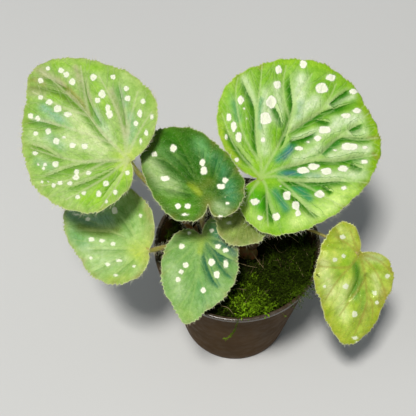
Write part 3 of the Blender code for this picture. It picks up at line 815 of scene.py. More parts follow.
def blade_tint(blade, places, measures, rng):
    """Each point's ground colour on the upper side, from the palette and the painted patches."""
    palette = PALETTES[blade.leaf.name]
    main, side, edge, far = (measures[k] for k in ("main", "side", "edge", "far"))
    cloud = np.zeros(len(places))
    for _ in range(14):
        wave = rng.normal(0, 1, 2)
        cloud += np.sin(places @ wave * rng.uniform(0.08, 0.3) + rng.uniform(0, 6))
    cloud = 0.5 + 0.5 * np.tanh(cloud / 4)
    tint = mix(np.tile(np.array(palette.panel), (len(places), 1)), palette.panel_b, cloud)
    tint = mix(tint, palette.flank, 0.22 * np.exp(-((side / (0.8 * MM)) ** 2)))
    tint = mix(tint, palette.panel, 0.55 * np.exp(-((main / (2.2 * MM)) ** 2)) * blade.finish.vein)
    for colour, width, strength, *line in PATCHES[blade.leaf.name]:
        gap = from_lines(places, [np.array(line, float)])[0]
        tint = mix(tint, colour, strength * np.exp(-((gap / width) ** 2)))
    tint = mix(tint, palette.centre, 0.8 * np.exp(-((far / (blade.finish.centre * MM)) ** 2)))
    tint = mix(tint, palette.margin, 0.7 * np.exp(-edge / (1.8 * MM)))
    reddened = np.exp(-((main / (1.6 * MM)) ** 2)) * np.exp(-edge / (1.6 * MM))
    tint = mix(tint, RED_BROWN, 0.6 * reddened)
    return np.clip(tint, 0, 1)


def fold_measure(blade, places, edge):
    """Signed distance in photograph pixels to the fold that shapes each point, and its strength there.

    The distance is above 0 on the fold's steep side. Folds narrow and fade towards both ends.
    """
    best = np.zeros(len(places))
    gap = np.full(len(places), -12.0)
    strength = np.zeros(len(places))
    for line in FOLDS[blade.leaf.name]:
        offset, share = off_lines(places, [spaced(rounded(line), 3.0)])
        steep = offset @ FOLD_FACES > 0
        away = np.hypot(*offset.T) / (0.5 + 0.5 * np.sqrt(np.abs(np.sin(pi * share))))
        ends = smoothstep(0, 0.15, share) * smoothstep(1, 0.75, share)
        pull = ends * np.exp(-away / np.where(steep, 1.5, 5.0))
        ahead = pull > best
        best[ahead] = pull[ahead]
        gap[ahead] = np.where(steep, away, -away)[ahead]
        strength[ahead] = ends[ahead]
    return gap, strength * smoothstep(0, 4 * MM, edge)


def spot_distance(name, places):
    """Signed distance in photograph pixels to the nearest cream spot, below 0 inside it."""
    close_up = CLOSE_UPS[name]
    nearest = np.full(len(places), 9.0)
    for number, (x, y, width, *rest) in enumerate(SPOTS[name]):
        height = rest[0] if rest else width
        centre = np.array((close_up.left + x / close_up.scale, close_up.top + y / close_up.scale))
        half = np.array((width, height)) / (2 * close_up.scale)
        off = (places - centre) / half
        turn = np.arctan2(off[:, 1], off[:, 0])
        lobes = 1 + 0.05 * np.sin(3 * turn + 1.7 * number) + 0.06 * np.sin(4 * turn + 2.9 * number)
        nearest = np.minimum(nearest, (np.hypot(*off.T) - lobes) * half.min())
    return nearest


def set_floats(mesh, name, values):
    mesh.attributes.new(name, "FLOAT", "POINT").data.foreach_set("value", np.asarray(values, np.float32))


def set_colours(mesh, name, values):
    full = np.concatenate([values, np.ones((len(values), 1))], axis=1).astype(np.float32)
    mesh.attributes.new(name, "FLOAT_COLOR", "POINT").data.foreach_set("color", full.ravel())


def add_mesh(name, points, faces, material, smooth=True):
    """A mesh object from arrays of points and of faces."""
    mesh = bpy.data.meshes.new(name)
    mesh.from_pydata(np.asarray(points).tolist(), [], [list(map(int, f)) for f in faces])
    mesh.materials.append(material)
    if smooth:
        mesh.shade_smooth()
    obj = bpy.data.objects.new(name, mesh)
    bpy.context.scene.collection.objects.link(obj)
    return obj


def ride(obj, slot, *nodes):
    """Fixes a piece to the plant's one body and hides the CAD nodes it stands for."""
    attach(obj, "root")
    if nodes:
        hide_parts(*nodes)
    return obj


def add_blade(leaf, materials, rng):
    """A leaf blade with teeth, veins, folds, spots and two sides. Returns its shape for the hairs."""
    blade = Blade(leaf)
    finish = blade.finish
    mains = main_veins(blade)
    sides = side_veins(blade, mains, rng)
    outline = toothed_outline(blade, rng)
    inner = [line[np.hypot(*line.T) < blade.reach(np.arctan2(*line.T[::-1])) - 0.9 * MM] for line in mains]
    net, faces = blade_net(blade, outline, [line for line in inner if len(line) > 1], rng)
    x, y = net.T
    far = np.hypot(x, y)
    main, share = from_lines(net, mains)
    side, _ = from_lines(net, sides)
    edge = from_points(net, outline)
    places = photo_place(blade.world(x, y, blade.rise(x, y)))
    fold, fold_strength = fold_measure(blade, places, edge)
    calm = smoothstep(0, 6 * MM, edge) * smoothstep(2 * MM, 16 * MM, far)
    ripples = 1 - np.exp(-((side / (1.1 * MM)) ** 2))
    grooves = 1 - np.exp(-((main / (finish.groove * MM)) ** 2))
    trough = np.where(fold > 0, np.exp(-fold / 1.6), np.exp(fold / 7)) * fold_strength
    quilt = (0.6 * grooves - 1.6 * trough + finish.ripple * ripples) * calm
    middle = blade.rise(x, y) + finish.relief * MM * quilt
    width = (0.85 - 0.5 * share) * MM
    rib = np.exp(-((main / width) ** 2)) * smoothstep(0, 4 * MM, edge)
    half = 0.24 * MM * smoothstep(-0.2 * MM, 0.8 * MM, edge) + 0.02 * MM
    top = blade.world(x, y, middle + half)
    low = blade.world(x, y, middle - half - (0.7 - 0.5 * share) * MM * rib)
    count = len(net)
    rims = [(b, a, a + count, b + count) for a, b in boundary_loop(faces)]
    all_faces = [tuple(f) for f in faces] + rims + [tuple(f[::-1] + count) for f in faces]
    obj = add_mesh(f"leaf_{leaf.name}", np.concatenate([top, low]), all_faces, materials[0])
    mesh = obj.data
    mesh.materials.append(materials[1])
    sides_of = np.repeat([0, 1], [len(faces) + len(rims), len(faces)]).astype(np.int32)
    mesh.polygons.foreach_set("material_index", sides_of)
    measures = {"main": main, "side": side, "edge": edge, "far": far}
    tint = blade_tint(blade, places, measures, rng)
    back = mix(np.tile(np.array((0.34, 0.46, 0.20)), (count, 1)), (0.42, 0.16, 0.10), 0.8 * rib)
    back = mix(back, (0.40, 0.30, 0.16), 0.5 * np.exp(-((side / (0.4 * MM)) ** 2)))
    set_colours(mesh, "tint", np.concatenate([tint, back]))
    set_floats(mesh, "spot", np.tile(spot_distance(leaf.name, places), 2))
    set_floats(mesh, "vein_widths", np.tile(np.minimum(main / width, 9), 2))
    set_floats(mesh, "side_mm", np.tile(np.minimum(side / MM, 9), 2))
    set_floats(mesh, "edge_mm", np.tile(np.minimum(edge / MM, 9), 2))
    set_floats(mesh, "fold", np.tile(np.clip(fold, -12, 12), 2))
    set_floats(mesh, "fold_strength", np.tile(fold_strength * finish.fold, 2))
    ride(obj, "blade", f"blade_{leaf.name}")
    return blade, outline, net, middle + half


class Nodes:
    """A material's node tree with short calls for the nodes used here."""

    def __init__(self, name):
        self.material = bpy.data.materials.new(name)
        self.material.use_nodes = True
        self.tree = self.material.node_tree
        self.shader = self.tree.nodes["Principled BSDF"]

    def add(self, kind, inputs=None, **settings):
        node = self.tree.nodes.new(kind)
        for key, value in settings.items():
            setattr(node, key, value)
        for key, value in (inputs or {}).items():
            if isinstance(value, bpy.types.NodeSocket):
                self.tree.links.new(value, node.inputs[key])
            else:
                node.inputs[key].default_value = value
        return node

    def attribute(self, name, output="Fac"):
        return self.add("ShaderNodeAttribute", attribute_name=name).outputs[output]

    def place(self):
        return self.add("ShaderNodeTexCoord").outputs["Object"]

    def noise(self, scale, detail=3.0, roughness=0.55, stretch=None):
        vector = self.place()
        if stretch:
            vector = self.add("ShaderNodeMapping", {"Vector": vector, "Scale": stretch}).outputs["Vector"]
        settings = {"Vector": vector, "Scale": scale, "Detail": detail, "Roughness": roughness}
        return self.add("ShaderNodeTexNoise", settings).outputs["Fac"]

    def cells(self, scale, feature="DISTANCE_TO_EDGE"):
        node = self.add("ShaderNodeTexVoronoi", {"Vector": self.place(), "Scale": scale}, feature=feature)
        return node.outputs["Distance"]

    def between(self, value, low, high, out_low=0.0, out_high=1.0, smooth=True):
        kind = "SMOOTHSTEP" if smooth else "LINEAR"
        inputs = {"Value": value, "From Min": low, "From Max": high, "To Min": out_low, "To Max": out_high}
        return self.add("ShaderNodeMapRange", inputs, interpolation_type=kind).outputs["Result"]

    def maths(self, operation, first, second=0.0):
        return self.add("ShaderNodeMath", {0: first, 1: second}, operation=operation).outputs[0]

    def mixed(self, amount, first, second, blend="MIX"):
        node = self.add("ShaderNodeMix", data_type="RGBA", blend_type=blend)
        for socket, value in (("Factor_Float", amount), ("A_Color", first), ("B_Color", second)):
            target = next(s for s in node.inputs if s.identifier == socket)
            if isinstance(value, bpy.types.NodeSocket):
                self.tree.links.new(value, target)
            elif isinstance(value, tuple):
                target.default_value = (*value, 1.0)
            else:
                target.default_value = value
        return next(s for s in node.outputs if s.identifier == "Result_Color")

    def bump(self, height, distance, strength=1.0, normal=None):
        inputs = {"Height": height, "Distance": distance, "Strength": strength}
        if normal is not None:
            inputs["Normal"] = normal
        return self.add("ShaderNodeBump", inputs).outputs["Normal"]

    def finish(self, colour=None, roughness=None, normal=None, **values):
        for socket, value in (("Base Color", colour), ("Roughness", roughness), ("Normal", normal)):
            if isinstance(value, bpy.types.NodeSocket):
                self.tree.links.new(value, self.shader.inputs[socket])
            elif value is not None:
                self.shader.inputs[socket].default_value = value
        for key, value in values.items():
            self.shader.inputs[key.replace("_", " ").title().replace("Ior", "IOR")].default_value = value
        return self.material


def blade_material(name):
    """One leaf's upper side: ground tint, folds with painted highlight and painted shade, net of veins, silvery
    grain and raised cream spots.
    """
    palette, finish = PALETTES[name], FINISHES[name]
    n = Nodes(f"leaf_surface_{name}")
    wobble = n.maths("SUBTRACT", n.noise(1100, 3, 0.6), 0.5)
    edge = n.attribute("edge_mm")
    colour = n.attribute("tint", "Color")
    mottle = n.between(n.noise(330, 5, 0.65), 0.38, 0.64)
    colour = n.mixed(n.maths("MULTIPLY", mottle, 0.58), colour, (0.58, 0.76, 0.38), "MULTIPLY")
    silver = n.between(n.noise(640, 5, 0.7), 0.50, 0.66)
    colour = n.mixed(n.maths("MULTIPLY", silver, 0.45), colour, (1.40, 1.28, 1.28), "MULTIPLY")

    fold = n.maths("ADD", n.attribute("fold"), n.maths("MULTIPLY", wobble, 2.6))
    on = n.attribute("fold_strength")
    patchy = n.between(n.noise(110, 3), 0.30, 0.58, 0.72, 1.0)
    # Dark band beside each fold: partly the leaf's deeper green, partly painted shade on the slope turned from the
    # light
    fold_band_green_and_shade = n.maths("MULTIPLY", n.between(fold, -9.0, -1.0), n.between(fold, 0.9, 0.0))
    fold_band_green_and_shade = n.maths("MULTIPLY", n.maths("MULTIPLY", fold_band_green_and_shade, on), patchy)
    # Pale strip on the fold's steep wall: painted highlight
    lip = n.maths("MULTIPLY", n.between(fold, 0.2, 1.4), n.between(fold, 6.0, 1.6))
    colour = n.mixed(n.maths("MULTIPLY", n.maths("MULTIPLY", lip, on), 0.5), colour, palette.vein)
    colour = n.mixed(fold_band_green_and_shade, colour, palette.flank)
    # Darker line along the fold itself: painted shade in the crease
    painted_crease_shade_mask = n.between(n.maths("ABSOLUTE", fold), 0.8, 0.1)
    shade = tuple(0.45 * c for c in palette.flank)
    colour = n.mixed(n.maths("MULTIPLY", n.maths("MULTIPLY", painted_crease_shade_mask, on), 0.55), colour, shade)

    side = n.maths("ADD", n.attribute("side_mm"), n.maths("MULTIPLY", wobble, 0.5))
    fine = n.between(side, 0.50, 0.12)
    colour = n.mixed(n.maths("MULTIPLY", fine, 0.42 * finish.vein), colour, palette.vein)
    vein = n.maths("ADD", n.attribute("vein_widths"), n.maths("MULTIPLY", wobble, 0.7))
    line = n.between(vein, 1.9, 0.1)
    colour = n.mixed(n.maths("MULTIPLY", line, finish.vein), colour, palette.vein)
    net = n.between(n.cells(430), 0.0, 0.11, 1.0, 0.0)
    colour = n.mixed(n.maths("MULTIPLY", net, 0.22), colour, (1.3, 1.2, 1.1), "MULTIPLY")
    rim = n.between(n.maths("ADD", edge, n.maths("MULTIPLY", wobble, 0.5)), 0.60, 0.20)
    colour = n.mixed(n.maths("MULTIPLY", rim, 0.6), colour, RIM)
    grain = n.between(n.noise(3400, 2), 0.62, 0.74)
    colour = n.mixed(n.maths("MULTIPLY", grain, 0.35), colour, (1.45, 1.32, 1.35), "MULTIPLY")

    ragged = n.maths("MULTIPLY", n.maths("SUBTRACT", n.noise(1500, 4, 0.65), 0.5), 3.2)
    spot = n.maths("ADD", n.attribute("spot"), ragged)
    inside = n.between(spot, 0.30, -0.30, 0.0, finish.spots)
    halo = n.maths("MULTIPLY", n.between(spot, 1.3, 0.1), 0.25)
    colour = n.mixed(halo, colour, (0.56, 0.72, 0.36))
    core = n.between(n.maths("ADD", n.attribute("spot"), n.maths("MULTIPLY", wobble, 2.0)), -0.9, -2.2)
    colour = n.mixed(inside, colour, n.mixed(n.maths("MULTIPLY", core, 0.30), CREAM, (0.74, 0.84, 0.52)))

    height = n.maths("ADD", n.maths("MULTIPLY", net, -0.45), n.maths("MULTIPLY", fine, -0.5))
    height = n.maths("ADD", height, n.maths("MULTIPLY", inside, 0.7))
    height = n.maths("ADD", height, n.maths("MULTIPLY", n.noise(1300, 4, 0.6), 1.1))
    rough = n.between(n.noise(700, 3), 0.3, 0.7, finish.rough - 0.09, finish.rough + 0.09)
    return n.finish(colour, rough, n.bump(height, finish.grain * MM, 0.9), specular_ior_level=finish.gloss,
                    specular_tint=(0.92, 1.0, 0.60, 1.0))


def underside_material():
    """A leaf's lower side: dull grey-green with reddish ribs and a felt of tiny hairs."""
    n = Nodes("leaf_underside")
    colour = n.attribute("tint", "Color")
    mottle = n.between(n.noise(300, 5, 0.65), 0.36, 0.66)
    colour = n.mixed(n.maths("MULTIPLY", mottle, 0.45), colour, (0.72, 0.80, 0.66), "MULTIPLY")
    net = n.between(n.cells(430), 0.0, 0.10, 1.0, 0.0)
    colour = n.mixed(n.maths("MULTIPLY", net, 0.25), colour, (0.46, 0.40, 0.24))
    grain = n.between(n.noise(3400, 2), 0.60, 0.74)
    colour = n.mixed(n.maths("MULTIPLY", grain, 0.30), colour, (0.62, 0.68, 0.46))
    height = n.maths("ADD", n.maths("MULTIPLY", net, 0.6), n.noise(1300, 4, 0.6))
    return n.finish(colour, 0.6, n.bump(height, 0.00018, 0.9), specular_ior_level=0.2)


def hair_material(name, young, old):
    n = Nodes(name)
    return n.finish(n.mixed(n.attribute("tone"), young, old), 0.45)


def stalk_material():
    """Leaf stalk: reddish at the foot, yellow-green above, with fine streaks."""
    n = Nodes("stalk_skin")
    along = n.attribute("along")
    colour = n.mixed(n.between(along, 0.0, 0.75), (0.34, 0.14, 0.05), (0.40, 0.40, 0.08))
    streak = n.between(n.noise(1200, 3, 0.6, (1, 1, 0.12)), 0.35, 0.7)
    colour = n.mixed(n.maths("MULTIPLY", streak, 0.45), colour, (0.50, 0.26, 0.10))
    return n.finish(colour, 0.4, n.bump(n.noise(1500, 2), 0.0001, 0.6), subsurface_weight=0.1)


def rhizome_material():
    n = Nodes("rhizome_skin")
    colour = n.mixed(n.between(n.noise(420, 4), 0.35, 0.65), (0.30, 0.10, 0.03), (0.26, 0.19, 0.05))
    return n.finish(colour, 0.6, n.bump(n.noise(900, 4), 0.0003, 0.8))


def pot_material():
    """Thin warm brown plastic, nearly matt, with handling marks and dust towards the foot."""
    n = Nodes("pot_plastic_worn")
    colour = n.mixed(n.between(n.noise(40, 3), 0.35, 0.68), (0.068, 0.037, 0.013), (0.090, 0.050, 0.019))
    dust = n.between(n.noise(420, 5, 0.7), 0.60, 0.78)
    colour = n.mixed(n.maths("MULTIPLY", dust, 0.10), colour, (0.16, 0.12, 0.075))
    height = n.attribute("up")
    colour = n.mixed(n.maths("MULTIPLY", n.between(height, 0.012, 0.0), 0.6), colour, (0.13, 0.085, 0.05))
    rough = n.between(n.noise(180, 4), 0.3, 0.7, 0.45, 0.60)
    return n.finish(colour, rough, n.bump(n.noise(300, 2), 0.00001, 0.3), specular_ior_level=0.02)


def lip_material():
    """The pot's rolled lip: the same plastic, painted darker than the wall to shade its upward faces, rubbed smooth,
    with pale patches that are partly wear and partly a painted highlight.
    """
    n = Nodes("pot_lip_shaded_worn_highlit")
    # Darker than the wall: painted shade on the upward-facing lip
    colour = n.mixed(n.between(n.noise(40, 3), 0.35, 0.68), (0.040, 0.024, 0.011), (0.056, 0.034, 0.016))
    # Pale patches: partly wear, partly a painted highlight along the rim
    pale_wear_and_highlight = n.between(n.noise(260, 5, 0.7), 0.42, 0.70)
    colour = n.mixed(n.maths("MULTIPLY", pale_wear_and_highlight, 0.30), colour, (0.17, 0.15, 0.11))
    return n.finish(colour, n.between(n.noise(500, 3), 0.3, 0.7, 0.20, 0.36), specular_ior_level=0.7)


def mix_material():
    n = Nodes("potting_mix_crumbs")
    colour = n.mixed(n.between(n.noise(600, 5, 0.7), 0.35, 0.7), (0.012, 0.008, 0.005), (0.060, 0.038, 0.022))
    return n.finish(colour, 0.95, n.bump(n.noise(500, 5, 0.7), 0.001, 1.0), ior=1.12)


def moss_material(name, dark, light):
    """Moss: each frond has its own tone, from dark to bright."""
    n = Nodes(name)
    colour = n.mixed(n.attribute("tone"), dark, light)
    colour = n.mixed(n.maths("MULTIPLY", n.noise(900, 3), 0.30), colour, (0.035, 0.030, 0.008))
    return n.finish(colour, 0.8, n.bump(n.noise(1800, 2), 0.0003, 0.6), ior=1.12)


def strand_material():
    n = Nodes("dry_strands")
    return n.finish(n.mixed(n.attribute("tone"), (0.14, 0.075, 0.03), (0.42, 0.34, 0.16)), 0.7)


def turned(profile, segments):
    """Points and faces of a profile of (radius, height) turned about the Z axis, closed on the axis."""
    points, faces = [], []
    rings = []
    for radius, height in profile:
        if radius < 1e-9:
            rings.append([len(points)])
            points.append((0, 0, height))
            continue
        rings.append(list(range(len(points), len(points) + segments)))
        for k in range(segments):
            points.append((radius * cos(2 * pi * k / segments), radius * sin(2 * pi * k / segments), height))
    for upper, lower in zip(rings, rings[1:]):
        for k in range(segments):
            after = (k + 1) % segments
            if len(upper) == 1:
                faces.append((upper[0], lower[k], lower[after]))
            elif len(lower) == 1:
                faces.append((upper[k], lower[0], upper[after]))
            else:
                faces.append((upper[k], lower[k], lower[after], upper[after]))
    return np.array(points), faces


def inner_wall_radius(height):
    return BASE_RADIUS - WALL + (NECK_RADIUS - BASE_RADIUS) / POT_HEIGHT * height


def mix_surface(radius):
    return MIX_EDGE_HEIGHT + MIX_CROWN * (1 - (radius / NECK_RADIUS) ** 2)


def arc(centre, radius, start_deg, end_deg, steps):
    """Points of a round corner in a profile."""
    turns = np.radians(np.linspace(start_deg, end_deg, steps))
    return [(centre[0] + radius * cos(t), centre[1] + radius * sin(t)) for t in turns]


def add_pot(material, lip):
    """The pot with a rolled lip, a rounded foot and drain holes."""
    neck = inner_wall_radius(POT_HEIGHT - LIP_DEPTH)
    lip_inside = NECK_RADIUS - WALL + 0.3 * MM
    profile = [(0, FLOOR), (DRAIN_CIRCLE, FLOOR), (inner_wall_radius(FLOOR) - 1 * MM, FLOOR)]
    profile += [(inner_wall_radius(FLOOR + 1 * MM), FLOOR + 1 * MM)]
    for height in np.linspace(12, 76, 9) * MM:
        profile.append((inner_wall_radius(height), height))
    profile += [(neck, POT_HEIGHT - LIP_DEPTH), (lip_inside, POT_HEIGHT - 0.6 * MM)]
    profile += arc((lip_inside + 0.6 * MM, POT_HEIGHT - 0.6 * MM), 0.6 * MM, 180, 90, 5)[1:]
    profile += arc((RIM_RADIUS - 0.6 * MM, POT_HEIGHT - 0.6 * MM), 0.6 * MM, 90, 0, 5)
    profile += arc((RIM_RADIUS - 0.5 * MM, POT_HEIGHT - LIP_DEPTH + 0.5 * MM), 0.5 * MM, 0, -90, 4)
    profile += [(neck + WALL + 0.1 * MM, POT_HEIGHT - LIP_DEPTH), (neck + WALL, POT_HEIGHT - LIP_DEPTH - 0.4 * MM)]
    for height in np.linspace(72, 6, 10) * MM:
        profile.append((inner_wall_radius(height) + WALL, height))
    profile += [(inner_wall_radius(BASE_BEVEL) + WALL, BASE_BEVEL)]
    profile += arc((BASE_RADIUS - BASE_BEVEL, BASE_BEVEL), BASE_BEVEL, -15, -90, 4)
    profile += [(DRAIN_CIRCLE, 0), (0, 0)]
    points, faces = turned(profile, 160)
    pot = add_mesh("pot_shell", points, faces, material)
    cut_points, cut_faces = [], []
    for hole in range(DRAIN_HOLES):
        turn = 2 * pi * (hole + 0.5) / DRAIN_HOLES
        rod = [(0, 2 * FLOOR), (DRAIN_RADIUS, 2 * FLOOR), (DRAIN_RADIUS, -FLOOR), (0, -FLOOR)]
        rod_points, rod_faces = turned(rod, 28)
        first = sum(len(p) for p in cut_points)
        cut_points.append(rod_points + (DRAIN_CIRCLE * cos(turn), DRAIN_CIRCLE * sin(turn), 0))
        cut_faces += [tuple(i + first for i in face) for face in rod_faces]
    cutter = add_mesh("drain_cutter", np.concatenate(cut_points), cut_faces, material)
    cut = pot.modifiers.new("drain", "BOOLEAN")
    cut.object = cutter
    cut.operation = "DIFFERENCE"
    cut_mesh = bpy.data.meshes.new_from_object(pot.evaluated_get(bpy.context.evaluated_depsgraph_get()))
    pot.modifiers.clear()
    pot.data = cut_mesh
    bpy.data.objects.remove(cutter, do_unlink=True)
    pot.data.set_sharp_from_angle(angle=radians(50))
    pot.data.materials.append(lip)
    for face in pot.data.polygons:
        if face.center.z > POT_HEIGHT - LIP_DEPTH:
            face.material_index = 1
    set_floats(pot.data, "up", [v.co.z for v in pot.data.vertices])
    ride(pot, "pot", "pot")


def bezier(start, leave, meet, end, count):
    t = np.linspace(0, 1, count)[:, None]
    a, b, c, d = start, start + leave, end + meet, end
    return (1 - t) ** 3 * a + 3 * (1 - t) ** 2 * t * b + 3 * (1 - t) * t ** 2 * c + t ** 3 * d


def swept(path, radii, sides):
    """A round tube with closed ends along a path of points."""
    path = np.asarray(path)
    run = np.gradient(path, axis=0)
    run /= np.linalg.norm(run, axis=1)[:, None]
    side = np.cross(run[0], (0.31, 0.17, 0.93))
    points, faces = [], []
    for k, (centre, ahead, radius) in enumerate(zip(path, run, radii)):
        side = side - ahead * (side @ ahead)
        side /= np.linalg.norm(side)
        up = np.cross(ahead, side)
        for s in range(sides):
            turn = 2 * pi * s / sides
            points.append(centre + radius * (cos(turn) * side + sin(turn) * up))
        if k:
            for s in range(sides):
                after = (s + 1) % sides
                low, high = (k - 1) * sides, k * sides
                faces.append((low + s, low + after, high + after, high + s))
    last = len(path) - 1
    points += [path[0], path[-1]]
    foot, tip = len(points) - 2, len(points) - 1
    for s in range(sides):
        after = (s + 1) % sides
        faces.append((foot, after, s))
        faces.append((tip, last * sides + s, last * sides + after))
    return np.array(points), faces


def rhizome_axis(along):
    point = RHIZOME_START + (RHIZOME_END - RHIZOME_START) * along
    point = point.copy()
    point[2] = mix_surface(0) + GAP + 0.95 * RHIZOME_RADIUS + RHIZOME_RISE * along ** 2
    return point


def stalk_path(leaf, count=44):
    """The stalk's line, as in the CAD, run on into the blade's joint."""
    stalk = leaf.stalk
    leave, meet = np.array(stalk.leave) * MM, np.array(stalk.meet) * MM
    axis = rhizome_axis(stalk.along + 0.01) - rhizome_axis(stalk.along - 0.01)
    axis /= np.linalg.norm(axis)
    side = leave - axis * (leave @ axis)
    side /= np.linalg.norm(side)
    foot = rhizome_axis(stalk.along) + side * (RHIZOME_RADIUS - 0.8 * MM)
    normal = Blade(leaf).turn[:, 2]
    top = np.array(leaf.joint_mm) * MM - normal * 0.15 * MM
    return bezier(foot, leave, meet, top, count)


def add_stalk(leaf, material, rng):
    """A leaf stalk, swollen at its foot and widening into the blade."""
    path = stalk_path(leaf)
    t = np.linspace(0, 1, len(path))
    radius = leaf.stalk.radius_mm * MM
    radii = radius * (0.86 + 0.45 * np.exp(-t / 0.06) + 0.35 * np.exp(-(1 - t) / 0.05))
    radii *= 1 + 0.04 * np.sin(t * 47 + rng.uniform(0, 6))
    points, faces = swept(path, radii, 14)
    obj = add_mesh(f"petiole_{leaf.name}", points, faces, material)
    set_floats(obj.data, "along", np.concatenate([np.repeat(t, 14), [0, 1]]))
    ride(obj, "stalk", f"stalk_{leaf.name}")
    return path, radii


def add_rhizome(material, rng):
    """The creeping stem, ringed with old leaf scars."""
    t = np.linspace(-0.03, 1.04, 90)
    path = np.array([rhizome_axis(a) for a in t])
    radii = RHIZOME_RADIUS * (0.93 + 0.07 * np.sin(t * 52) + 0.04 * np.sin(t * 23 + 1))
    radii *= np.sqrt(np.clip(1 - ((t - 0.505) / 0.545) ** 16, 0.02, 1))
    points, faces = swept(path, radii, 28)
    points[:-2] += rng.normal(0, 0.00006, (len(points) - 2, 3))
    obj = add_mesh("rhizome_stem", points, faces, material)
    ride(obj, "rhizome", "rhizome")


def add_scales(material, rng):
    """Thin pointed scales standing round the foot of each stalk."""
    points, faces = [], []
    for leaf in LEAVES:
        path = stalk_path(leaf)
        foot, ahead = path[0], path[3] - path[0]
        ahead /= np.linalg.norm(ahead)
        side = np.cross(ahead, (0.2, 0.9, 0.3))
        side /= np.linalg.norm(side)
        back = np.cross(ahead, side)
        for k in range(3):
            turn = 2 * pi * k / 3 + rng.uniform(-0.5, 0.5)
            out = cos(turn) * side + sin(turn) * back
            across = np.cross(ahead, out)
            height = rng.uniform(5, 8) * MM
            first = len(points)
            for row, (width, lift, flare) in enumerate(((2.2, 0, 1.6), (2.6, 0.35, 2.2), (1.7, 0.7, 3.0), (0.1, 1, 4.2))):
                for s in (-1, -0.5, 0, 0.5, 1):
                    bow = (1 - s * s) * 0.5 - 0.3
                    points.append(foot + ahead * lift * height + out * (flare + bow) * MM + across * s * width * MM)
                if row:
                    for c in range(4):
                        a = first + (row - 1) * 5 + c
                        faces.append((a, a + 1, a + 6, a + 5))
    obj = add_mesh("rhizome_scales", points, faces, material)
    thicken = obj.modifiers.new("thickness", "SOLIDIFY")
    thicken.thickness = 0.15 * MM
    ride(obj, "rhizome")


def scale_material():
    n = Nodes("papery_scale")
    colour = n.mixed(n.between(n.noise(500, 3), 0.35, 0.65), (0.30, 0.12, 0.05), (0.50, 0.34, 0.16))
    return n.finish(colour, 0.6, n.bump(n.noise(1600, 2, 0.5, (1, 1, 0.2)), 0.0002, 0.7))


def hairs(name, roots, ways, lengths, thickness, material, rng, slot, droop=0.3):
    """Many tapering hairs in one mesh: each leaves its root on its way and curls a little."""
    roots, ways = np.asarray(roots), np.asarray(ways)
    ways = ways / np.linalg.norm(ways, axis=1)[:, None]
    count = len(roots)
    curl = rng.normal(0, 1, (count, 3))
    curl -= ways * (curl * ways).sum(1)[:, None]
    side = np.cross(ways, rng.normal(0, 1, (count, 3)))
    side /= np.linalg.norm(side, axis=1)[:, None]
    up = np.cross(ways, side)
    steps = ((0.0, 1.0), (0.5, 0.65), (1.0, 0.08))
    points = np.zeros((count, len(steps), 3, 3))
    for row, (t, width) in enumerate(steps):
        length = lengths[:, None]
        centre = roots + ways * length * t + curl * length * t * t * 0.22
        centre = centre - np.array((0, 0, 1)) * length * t * t * droop
        for s in range(3):
            turn = 2 * pi * s / 3
            points[:, row, s] = centre + (cos(turn) * side + sin(turn) * up) * thickness * width
    faces = []
    for h in range(count):
        base = h * 9
        for row in range(2):
            for s in range(3):
                a = base + row * 3
                faces.append((a + s, a + (s + 1) % 3, a + 3 + (s + 1) % 3, a + 3 + s))
        faces.append((base + 2, base + 1, base))
        faces.append((base + 6, base + 7, base + 8))
    obj = add_mesh(name, points.reshape(-1, 3), faces, material)
    set_floats(obj.data, "tone", np.repeat(rng.uniform(0, 1, count) ** 2, 9))
    ride(obj, slot)


def add_blade_hairs(blade, outline, net, height, materials, rng):
    """A fringe along the edge and a sparse pile over the upper side."""
    name = blade.leaf.name
    far = np.hypot(*outline.T)
    spots = np.flatnonzero((far > 2.5 * MM) & (rng.uniform(0, 1, len(far)) < 0.55 * blade.finish.spacing))
    edge = outline[spots]
    out = edge / np.hypot(*edge.T)[:, None]
    around = np.stack([-out[:, 1], out[:, 0]], axis=1) * rng.normal(0, 0.45, (len(edge), 1))
    lift = rng.uniform(-0.15, 0.55, len(edge))
    ways = np.concatenate([out + around, lift[:, None]], axis=1) @ blade.turn.T
    roots = blade.world(edge[:, 0], edge[:, 1], blade.rise(edge[:, 0], edge[:, 1]))
    lengths = rng.uniform(0.25, 1.0, len(edge)) * blade.finish.hair * MM
    hairs(f"margin_hairs_{name}", roots, ways, lengths, 0.07 * MM, materials[0], rng, "blade", 0.15)
    pick = rng.choice(len(net), int(len(net) * 0.04), replace=False)
    slant = rng.normal(0, 0.8, (len(pick), 2))
    ways = np.concatenate([slant, np.ones((len(pick), 1))], axis=1) @ blade.turn.T
    roots = blade.world(net[pick, 0], net[pick, 1], height[pick])
    lengths = rng.uniform(0.6, 1.6, len(pick)) * MM
    hairs(f"blade_hairs_{name}", roots, ways, lengths, 0.035 * MM, materials[1], rng, "blade", 0.1)


def add_stalk_hairs(leaf, path, radii, material, rng):
    """A loose coat of hairs that stand out from the stalk."""
    run = np.gradient(path, axis=0)
    count = int(np.linalg.norm(run, axis=1).sum() / MM * 6)
    k = rng.integers(0, len(path) - 1, count)
    t = rng.uniform(0, 1, count)[:, None]
    centre = path[k] * (1 - t) + path[k + 1] * t
    ahead = run[k] / np.linalg.norm(run[k], axis=1)[:, None]
    out = np.cross(ahead, rng.normal(0, 1, (count, 3)))
    out /= np.linalg.norm(out, axis=1)[:, None]
    roots = centre + out * radii[k][:, None] * 0.95
    lengths = rng.uniform(1.2, 3.2, count) * MM
    hairs(f"stalk_hairs_{leaf.name}", roots, out + ahead * 0.25, lengths, 0.045 * MM, material, rng, "stalk", 0.2)


